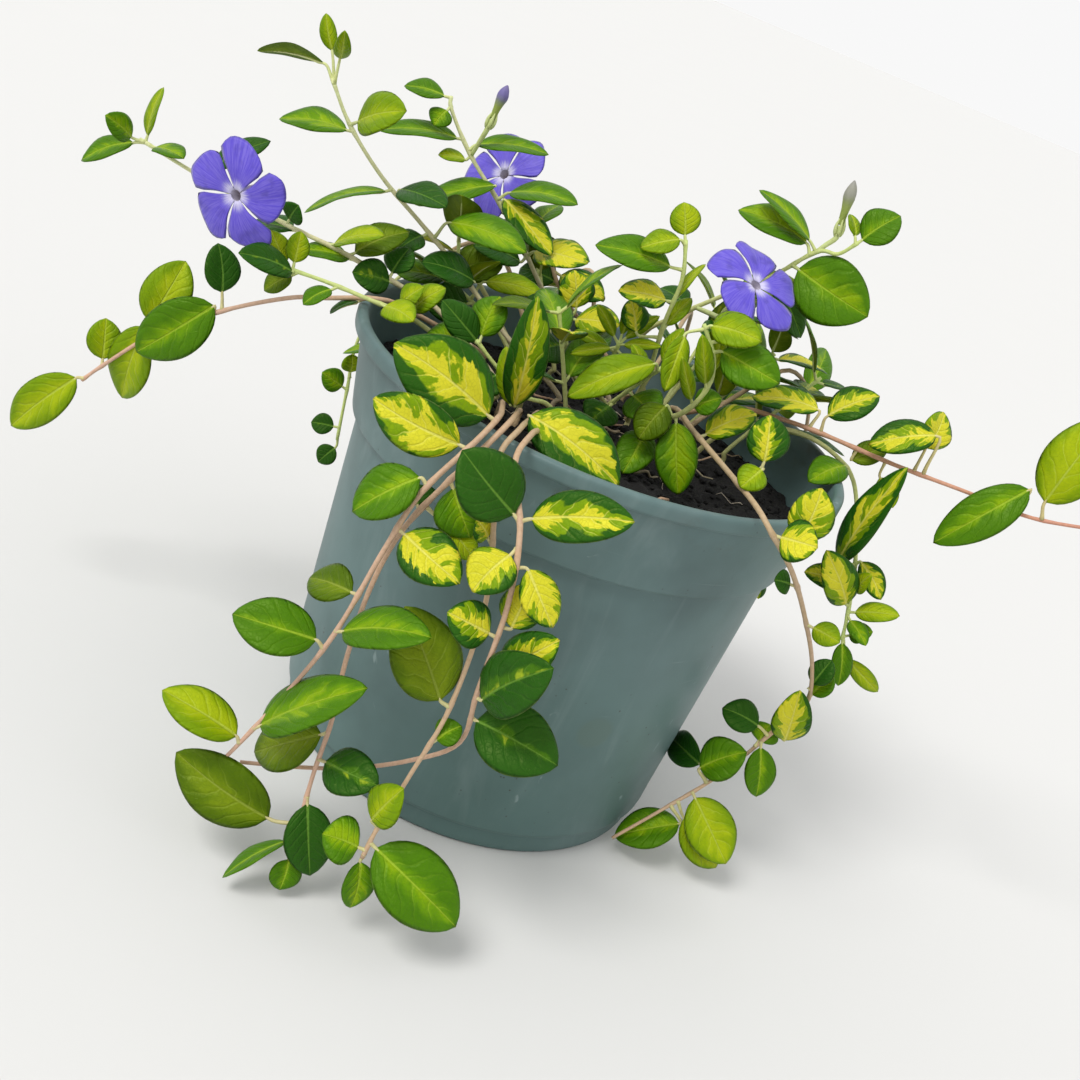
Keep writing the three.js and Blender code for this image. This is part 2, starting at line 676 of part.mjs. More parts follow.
function soilSolid(feet) {
  const step = POT_HEIGHT - COLLAR_HEIGHT;
  const edge = innerRadius(SOIL_TOP - 3) - SOIL_GAP;
  const radii = [...SOIL_RINGS, edge];
  const side = [
    [innerRadius(step + 1) - SOIL_GAP, step + 1],
    [innerRadius(step - 1) - SOIL_GAP, step - 1],
    [innerRadius(WALL) - 1, WALL + SOIL_GAP],
  ];
  const points = [new THREE.Vector3(0, 0, soilHeight(0, 0))];
  const ringPoint = (radius, i, height) => {
    const angle = (2 * Math.PI * i) / ROUND_SIDES;
    const x = radius * Math.sin(angle);
    const y = radius * Math.cos(angle);
    return new THREE.Vector3(x, y, height ?? soilHeight(x, y));
  };
  const rings = [...radii.map((radius) => [radius]), ...side];
  for (const [radius, height] of rings) {
    for (let i = 0; i < ROUND_SIDES; i++) points.push(ringPoint(radius, i, height));
  }
  points.push(new THREE.Vector3(0, 0, WALL + SOIL_GAP));
  const triangles = [];
  for (let i = 0; i < ROUND_SIDES; i++) {
    const next = (i + 1) % ROUND_SIDES;
    triangles.push([0, 1 + next, 1 + i]);
    for (let ring = 0; ring + 1 < rings.length; ring++) {
      const a = 1 + ring * ROUND_SIDES;
      const b = a + ROUND_SIDES;
      triangles.push([a + i, a + next, b + next], [a + i, b + next, b + i]);
    }
    const bottom = 1 + (rings.length - 1) * ROUND_SIDES;
    triangles.push([bottom + i, bottom + next, points.length - 1]);
  }
  let soil = solidFrom(points, triangles);
  for (const [x, y] of feet) {
    const low = new THREE.Vector3(x, y, SOIL_TOP - HOLE_DEPTH - HOLE_GAP);
    const high = new THREE.Vector3(x, y, SOIL_TOP + 8);
    const radius = STEM_FOOT_RADIUS + HOLE_GAP;
    soil = soil.subtract(rod([low, high], [radius, radius], HOLE_SIDES));
  }
  return soil;
}

// Stems

// The spine of a stem: points along a curve that rises straight out of its hole and then takes its route.
function stemSpine([x, y], route) {
  const ground = [SOIL_TOP - HOLE_DEPTH, SOIL_TOP + 1, SOIL_TOP + 6];
  const marks = [...ground.map((height) => new THREE.Vector3(x, y, height)), ...route];
  const curve = new THREE.CatmullRomCurve3(marks, false, "catmullrom", 0.5);
  const spans = marks.length - 1;
  const spine = [];
  for (let i = 0; i < spans; i++) {
    const steps = Math.max(1, Math.round(marks[i].distanceTo(marks[i + 1]) / STEM_STEP));
    for (let j = 0; j < steps; j++) spine.push(curve.getPoint((i + j / steps) / spans));
  }
  spine.push(marks[spans].clone());
  return spine;
}

function drawnRoute(route) {
  return route.map(([across, down, y]) => seenAt(across, down, y));
}

function crownRoute([footX, footY, topX, topY, topZ]) {
  const top = new THREE.Vector3(topX, topY, topZ);
  const middle = new THREE.Vector3(footX, footY, SOIL_TOP).lerp(top, 0.6);
  middle.z += 3;
  return [middle, top];
}

function trailRoute([degrees, length]) {
  const angle = THREE.MathUtils.degToRad(degrees);
  const hook = TRAIL_CREST - TRAIL_HOOK;
  const marks = [
    [TRAIL_FOOT_RADIUS + 16, hook, 0.02],
    [LIP_RADIUS - 8, TRAIL_CREST, 0.05],
    ...TRAIL_DROPS.map(([out, drop, sway]) => [TRAIL_REACH + out, hook - length * drop, sway]),
  ];
  return marks.map(([radius, height, sway]) => {
    const turn = angle + sway;
    return new THREE.Vector3(radius * Math.cos(turn), radius * Math.sin(turn), height);
  });
}

function trailFoot([degrees]) {
  const angle = THREE.MathUtils.degToRad(degrees);
  return [TRAIL_FOOT_RADIUS * Math.cos(angle), TRAIL_FOOT_RADIUS * Math.sin(angle)];
}

function stemRod(spine) {
  const last = spine.length - 1;
  const radii = spine.map((point, i) => THREE.MathUtils.lerp(STEM_FOOT_RADIUS, STEM_TIP_RADIUS, i / last));
  return rod(spine, radii, STEM_SIDES);
}

// The point of a stem, clear of the soil, that is seen nearest to a picture point.
function nearestOnStem(spine, across, down) {
  let nearest = Infinity;
  let found = null;
  for (let i = 2; i + 1 < spine.length; i++) {
    for (let j = 0; j < 8; j++) {
      const point = spine[i].clone().lerp(spine[i + 1], j / 8);
      const [x, y] = pictureOf(point);
      const distance = Math.hypot(x - across, y - down);
      if (distance < nearest - 1e-6) {
        nearest = distance;
        found = point;
      }
    }
  }
  return found;
}

// The point and the direction of a stem at a share of its spine's spans.
function alongStem(spine, share) {
  const place = Math.min(share, 0.98) * (spine.length - 1);
  const i = Math.floor(place);
  const point = spine[i].clone().lerp(spine[i + 1], place - i);
  return [point, spine[i + 1].clone().sub(spine[i]).normalize()];
}

// Leaves

// The half width of a blade at a share of its length: widest before the middle, pointed at the tip.
function bladeShape(share) {
  return (Math.pow(share, 0.6) * Math.pow(1 - share, 0.72)) / 0.4027;
}

// A unit vector square to the blade's length, nearest to a wanted direction.
function squareTo(along, wanted) {
  return wanted.clone().addScaledVector(along, -wanted.dot(along)).normalize();
}

function drawnLeafPose(spine, leaf, [depth, turn]) {
  const [footAcross, footDown, tipAcross, tipDown, back, sky, width] = leaf;
  const root = nearestOnStem(spine, footAcross, footDown);
  let base = seenAt(footAcross, footDown, root.y + (back + depth) * 0.15);
  const tip = seenAt(tipAcross, tipDown, root.y + back + depth);
  const away = tip.clone().sub(root).normalize();
  if (base.distanceTo(root) < 2.2) base = root.clone().addScaledVector(away, 2.2);
  const along = tip.clone().sub(base).normalize();
  const facing = squareTo(along, EYE.clone().sub(base));
  const sideways = along.clone().cross(facing);
  if (sideways.z < 0) sideways.negate();
  const angle = THREE.MathUtils.degToRad(sky + turn);
  const normal = facing.multiplyScalar(Math.cos(angle)).addScaledVector(sideways, Math.sin(angle));
  return { root, base, tip, normal, width };
}

function ruleLeafPose(spine, { share, azimuth, lean, length, width }, [depth, turn]) {
  const [root, stemway] = alongStem(spine, share);
  const outward = squareTo(stemway, new THREE.Vector3(Math.cos(0.4), Math.sin(0.4), 0.3));
  outward.applyAxisAngle(stemway, THREE.MathUtils.degToRad(azimuth + turn));
  const angle = THREE.MathUtils.degToRad(lean + depth * 3);
  const away = outward.clone().multiplyScalar(Math.sin(angle)).addScaledVector(stemway, Math.cos(angle));
  const base = root.clone().addScaledVector(away, RULE_PETIOLE);
  const tip = base.clone().addScaledVector(away, length);
  const normal = squareTo(away, UP.clone().addScaledVector(stemway, 0.5));
  return { root, base, tip, normal, width };
}

// A leaf: a petiole rooted in the stem, and a folded, arched blade. Extra makes it stouter all round.
function leafSolid({ root, base, tip, normal, width }, extra = 0) {
  const length = base.distanceTo(tip);
  const along = tip.clone().sub(base).normalize();
  const side = along.clone().cross(normal);
  const thick = BLADE_THICKNESS / 2 + extra;
  const shares = length > LONG_BLADE ? LONG_STATIONS : SHORT_STATIONS;
  const ringOf = (centre, across, up, half, height) => [
    centre.clone().addScaledVector(across, -half).addScaledVector(up, height * BLADE_FOLD),
    centre.clone().addScaledVector(up, Math.min(thick, half)),
    centre.clone().addScaledVector(across, half).addScaledVector(up, height * BLADE_FOLD),
    centre.clone().addScaledVector(up, -Math.min(thick, half)),
  ];
  const reach = base.clone().sub(root).normalize();
  const rootSide = squareTo(reach, side);
  const rootUp = rootSide.clone().cross(reach);
  const stalk = PETIOLE_RADIUS + extra;
  const from = extra ? Math.min(2, base.distanceTo(root) * 0.7) : ROOT_OFFSET;
  const start = root.clone().addScaledVector(reach, from);
  const rings = [ringOf(start, rootSide, rootUp, stalk, 0), ringOf(base, side, normal, stalk, 0)];
  for (const share of shares) {
    const centre = base.clone().lerp(tip, share);
    centre.addScaledVector(normal, BLADE_ARCH * length * 4 * share * (1 - share));
    const half = (width / 2) * bladeShape(share);
    rings.push(ringOf(centre, side, normal, half + extra, half));
  }
  rings.push([tip.clone().addScaledVector(along, extra)]);
  return loft(rings);
}

// The outer part of a leaf, which also keeps clear of the leaf's own stem.
function outerPart({ base, tip, normal, width }) {
  const along = (share) => base.clone().lerp(tip, share);
  return { root: along(0.15), base: along(0.25), tip, normal, width: width * 0.9 };
}

// Pairs of leaves by rule, each pair turned a right angle from the one before.
function pairLeaves(pairs, from, seed) {
  const leaves = [];
  for (let pair = 0; pair < pairs; pair++) {
    for (const half of [0, 1]) {
      const number = seed * 40 + pair * 2 + half;
      const size = 1 + 0.2 * scatter(number);
      leaves.push({
        share: from + ((1 - from) * (pair + 0.8)) / pairs,
        azimuth: pair * 90 + half * 180 + 20 * scatter(number + 0.3),
        lean: RULE_LEAF_LEAN + 12 * scatter(number + 0.6),
        length: RULE_LEAF_LENGTH * size * (pair === pairs - 1 ? 0.8 : 1),
        width: RULE_LEAF_WIDTH * size,
      });
    }
  }
  return leaves;
}

// Flowers

// The calyx and the stalk are part of the leafy stem, and the corolla sits on the calyx.
function flowerPlace(spine, { stalk, face, petal }) {
  const foot = nearestOnStem(spine, ...stalk[0]);
  const seat = seenAt(...stalk[1]);
  const centre = seenAt(...face);
  const axis = centre.clone().sub(seat).normalize();
  const first = squareTo(axis, seenAt(...petal).sub(centre));
  return { foot, seat, centre, axis, first };
}

function stalkSolid(foot, seat, axis) {
  const bend = seat.clone().addScaledVector(axis, -CALYX_LENGTH);
  const points = [foot, foot.clone().lerp(bend, 0.5), bend, seat];
  return rod(points, [STALK_RADIUS, STALK_RADIUS, STALK_RADIUS, CALYX_RADIUS], 5);
}

// One petal: a wedge that is cut off aslant, as the blades of a pinwheel are.
function petalSolid(centre, axis, out, side) {
  const rings = PETAL_STATIONS.map(([reach, left, right], i) => {
    const lift = 1.6 * Math.sin((reach / 16) * Math.PI) - 0.06 * reach;
    const at = (degrees, height) => {
      const angle = THREE.MathUtils.degToRad(degrees);
      const point = centre.clone().addScaledVector(axis, lift + height);
      point.addScaledVector(out, reach * Math.cos(angle));
      return point.addScaledVector(side, reach * Math.sin(angle));
    };
    const middle = (left + right) / 2;
    const thick = (PETAL_THICKNESS / 2) * (i === PETAL_STATIONS.length - 1 ? 0.7 : 1);
    return [at(left, -0.3), at(middle, -thick), at(right, 0.3), at(middle, thick)];
  });
  return loft(rings);
}

function corollaSolid({ seat, centre, axis, first }) {
  const start = seat.clone().addScaledVector(axis, CLEARANCE);
  const middle = start.clone().lerp(centre, 0.55);
  let corolla = rod(
    [start, middle, centre.clone().addScaledVector(axis, 0.4)],
    [TUBE_FOOT_RADIUS, TUBE_FOOT_RADIUS + 0.4, THROAT_RADIUS],
    8,
  );
  for (let i = 0; i < PETALS; i++) {
    const out = first.clone().applyAxisAngle(axis, (2 * Math.PI * i) / PETALS);
    corolla = corolla.add(petalSolid(centre, axis, out, axis.clone().cross(out)));
  }
  return corolla;
}

// A closed bud: a slim spindle on its calyx.
function budSolid(seat, tip) {
  const axis = tip.clone().sub(seat).normalize();
  const start = seat.clone().addScaledVector(axis, CLEARANCE);
  const shares = [0, 0.3, 0.62, 0.9];
  const sizes = [0.5, 0.62, 1, 0.45];
  return rod(
    shares.map((share) => start.clone().lerp(tip, share)),
    sizes.map((size) => BUD_RADIUS * size),
    7,
  );
}

// Assembly

const PLASTIC = new THREE.MeshStandardMaterial({ color: 0x627a7d, roughness: 0.55, metalness: 0 });
const EARTH = new THREE.MeshStandardMaterial({ color: 0x1d1712, roughness: 1, metalness: 0 });
const LEAVES = {
  green: new THREE.MeshStandardMaterial({ color: 0x5f9a1c, roughness: 0.4, metalness: 0 }),
  young: new THREE.MeshStandardMaterial({ color: 0x93b935, roughness: 0.42, metalness: 0 }),
  dark: new THREE.MeshStandardMaterial({ color: 0x2f6a26, roughness: 0.38, metalness: 0 }),
  variegated: new THREE.MeshStandardMaterial({ color: 0x86ab30, roughness: 0.4, metalness: 0 }),
  olive: new THREE.MeshStandardMaterial({ color: 0x84942a, roughness: 0.45, metalness: 0 }),
};
const PETAL = new THREE.MeshStandardMaterial({ color: 0x5f50c4, roughness: 0.55, metalness: 0 });
const BUD = new THREE.MeshStandardMaterial({ color: 0x8d86a8, roughness: 0.55, metalness: 0 });

// Every leafy stem with its spine and its leaves' possible poses, before any leaf is set.
function plannedStems() {
  const drawn = DRAWN_STEMS.map((stem) => {
    const spine = stemSpine(stem.foot, drawnRoute(stem.route));
    const poses = stem.leaves.map((leaf) => (shift) => drawnLeafPose(spine, leaf, shift));
    return { ...stem, spine, poses };
  });
  const crown = CROWN_SHOOTS.map((shoot, i) => {
    const foot = [shoot[0], shoot[1]];
    const spine = stemSpine(foot, crownRoute(shoot));
    const leaves = pairLeaves(shoot[5], CROWN_LEAVES_FROM, i + 1);
    const poses = leaves.map((leaf) => (shift) => ruleLeafPose(spine, leaf, shift));
    return { name: `shoot_crown_${i + 1}`, foot, leaves: [], spine, poses };
  });
  const trails = BACK_TRAILS.map((trail, i) => {
    const foot = trailFoot(trail);
    const spine = stemSpine(foot, trailRoute(trail));
    const pairs = Math.round((trail[1] + 40) / TRAIL_LEAF_STEP);
    const leaves = pairLeaves(pairs, TRAIL_LEAVES_FROM, i + 20);
    const poses = leaves.map((leaf) => (shift) => ruleLeafPose(spine, leaf, shift));
    return { name: `trail_back_${i + 1}`, foot, leaves: [], spine, poses };
  });
  return [...drawn, ...crown, ...trails];
}

// The kind that most of a stem's drawn leaves are of.
function commonestKind(leaves) {
  const kinds = leaves.map((leaf) => leaf.at(-1));
  const countOf = (kind) => kinds.filter((other) => other === kind).length;
  return kinds.reduce((best, kind) => (countOf(kind) > countOf(best) ? kind : best), "green");
}

const boxesMeet = (a, b) =>
  a.min.every((low, i) => low <= b.max[i]) && b.min.every((low, i) => low <= a.max[i]);

// Whether a solid touches any of the others.
function touches(solid, others) {
  const box = solid.boundingBox();
  return others.some(({ body, bounds }) => boxesMeet(box, bounds) && !solid.intersect(body).isEmpty());
}

const bounded = (body) => ({ body, bounds: body.boundingBox() });

const stems = plannedStems();
const pot = potSolid();
const soil = soilSolid(stems.map((stem) => stem.foot));
const corollas = [];
const buds = [];
for (const stem of stems) {
  stem.pieces = [stemRod(stem.spine)];
  if (stem.flower) {
    const place = flowerPlace(stem.spine, stem.flower);
    stem.pieces.push(stalkSolid(place.foot, place.seat, place.axis));
    corollas.push(corollaSolid(place));
  }
  if (stem.bud) {
    const foot = nearestOnStem(stem.spine, ...stem.bud[0]);
    const [seat, tip] = stem.bud.slice(1).map((point) => seenAt(...point));
    stem.pieces.push(stalkSolid(foot, seat, tip.clone().sub(seat).normalize()));
    buds.push(budSolid(seat, tip));
  }
  stem.pieces = stem.pieces.map(bounded);
}

// Sets each leaf in the first of its poses that is clear of the other pieces and, if one is, of its own stem.
const still = [pot, soil, ...corollas, ...buds].map(bounded);
for (const stem of stems) {
  const others = stems.filter((other) => other !== stem);
  for (const poseFor of stem.poses) {
    const rivals = [...still, ...others.flatMap((other) => other.pieces), ...stem.pieces.slice(1)];
    const free = SHIFTS.map(poseFor).filter((pose) => !touches(leafSolid(pose, CLEARANCE), rivals));
    const own = stem.pieces.slice(0, 1);
    const best = free.find((pose) => !touches(leafSolid(outerPart(pose), 0.1), own)) ?? free[0];
    if (best) stem.pieces.push(bounded(leafSolid(best)));
  }
}

const plant = new THREE.Group();
plant.add(meshOf("pot", pot, PLASTIC));
plant.add(meshOf("soil", soil, EARTH));
stems.forEach((stem) => {
  const body = stem.pieces.map((piece) => piece.body).reduce((whole, piece) => whole.add(piece));
  plant.add(meshOf(stem.name, body, LEAVES[commonestKind(stem.leaves)]));
});
corollas.forEach((corolla, i) => plant.add(meshOf(`corolla_${i + 1}`, corolla, PETAL)));
buds.forEach((bud, i) => plant.add(meshOf(`bud_${i + 1}`, bud, BUD)));

export default plant;
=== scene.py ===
"""Potted lesser periwinkle: a nursery pot of soil with trailing variegated stems, flowers and buds.

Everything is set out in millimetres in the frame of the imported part, with the pot's base on z = 0
and the viewer in front at -Y, and is turned into metres when a mesh is made.
"""

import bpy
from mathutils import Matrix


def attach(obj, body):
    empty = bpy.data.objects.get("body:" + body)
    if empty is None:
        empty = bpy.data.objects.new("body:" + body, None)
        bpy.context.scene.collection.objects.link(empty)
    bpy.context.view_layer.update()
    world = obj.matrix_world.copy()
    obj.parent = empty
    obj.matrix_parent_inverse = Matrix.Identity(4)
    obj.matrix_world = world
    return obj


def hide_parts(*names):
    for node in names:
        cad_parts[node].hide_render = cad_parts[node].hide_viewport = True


bl_info = {
    "name": "Potted periwinkle",
    "version": (1, 0, 0),
    "blender": (4, 5, 0),
    "location": "3D View > Sidebar > Periwinkle",
    "description": "Dresses the packed frame of a potted periwinkle with leaves, flowers, pot and soil",
    "category": "Add Mesh",
}

import math
import random

import bmesh
import bpy
import numpy as np
from mathutils import Matrix, Vector, noise
from mathutils.bvhtree import BVHTree

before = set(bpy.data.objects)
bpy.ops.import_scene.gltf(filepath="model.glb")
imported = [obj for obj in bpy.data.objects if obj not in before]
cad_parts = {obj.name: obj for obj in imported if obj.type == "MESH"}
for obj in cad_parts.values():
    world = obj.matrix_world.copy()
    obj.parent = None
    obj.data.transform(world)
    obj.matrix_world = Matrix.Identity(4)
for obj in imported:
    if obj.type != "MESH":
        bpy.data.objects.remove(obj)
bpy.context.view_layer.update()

MM = 0.001
BODY = "root"

# Pot
POT_HEIGHT = 130
LIP_RADIUS = 78
LIP_HEIGHT = 4.8
LIP_WIDTH = 3.2
COLLAR_TOP_RADIUS = 75.5
COLLAR_FOOT_RADIUS = 71.2
COLLAR_HEIGHT = 28.5
BODY_TOP_RADIUS = 68.6
BODY_FOOT_RADIUS = 63.4
FOOT_LINE_HEIGHT = 8
BASE_RADIUS = 61.6
WALL = 1.6
POT_SIDES = 160
DRAIN_HOLES = 6
DRAIN_RADIUS = 4.5
DRAIN_CIRCLE = 48
DRAIN_SIDES = 28

# Soil
SOIL_TOP = 112.5
SOIL_GAP = 0.35
HOLE_DEPTH = 20
SOIL_SEED = 11
SOIL_SIDES = 170
LITTER = 46
ROOT_HAIRS = 22
LITTER_EDGE = 66

# Leafy stems
STEM_STEP = 17
STEM_FOOT_RADIUS = 1.15
STEM_TIP_RADIUS = 0.65
BLADE_ARCH = 0.07
BLADE_FOLD = 0.16
LONG_BLADE = 20
LONG_STATIONS = (0.42, 0.77)
SHORT_STATIONS = (0.2, 0.64)
RULE_LEAF_LENGTH = 22
RULE_LEAF_WIDTH = 11
RULE_LEAF_LEAN = 62
RULE_PETIOLE = 3
SHORTEST_PETIOLE = 2.2
BASE_SHIFT = 0.15
TRAIL_LEAF_STEP = 27
CROWN_LEAVES_FROM = 0.5
TRAIL_LEAVES_FROM = 0.4
TRAIL_FOOT_RADIUS = 34
TRAIL_CREST = 146
TRAIL_HOOK = 12
TRAIL_REACH = 93

# Flowers
PETALS = 5
CALYX_LENGTH = 3.4
BUD_RADIUS = 1.9
PETAL_FOOT = 1.6
PETAL_LENGTH = 16
TUBE_SIDES = 20
BUD_SIDES = 30
BUD_RINGS = 26
# How deep a flower's tube or a bud sits on its stalk
SEAT_DEPTH = 0.3

# The viewpoint that the drawn points below are read from
EYE = np.array([0.0, -380.0, 242.0])
AIM = np.array([-1.0, 0.0, 75.0])
ROLL = math.radians(22.8)
FOCAL = 1300
MIDDLE = 540
FILM_WIDTH = 36

# Stage, in metres but for the angle
FLOOR_RADIUS = 60
FLOOR_DROP = 0.0002
KEY_ANGLE = math.radians(24)
KEY_FROM = (-0.45, -0.5, 0.9)


def unit(vector):
    return vector / np.linalg.norm(vector)


UP = np.array([0.0, 0.0, 1.0])
BACK = unit(EYE - AIM)
LEVEL = unit(np.cross(UP, BACK))
RISE = np.cross(BACK, LEVEL)
ACROSS = math.cos(ROLL) * LEVEL + math.sin(ROLL) * RISE
UPWARD = math.cos(ROLL) * RISE - math.sin(ROLL) * LEVEL

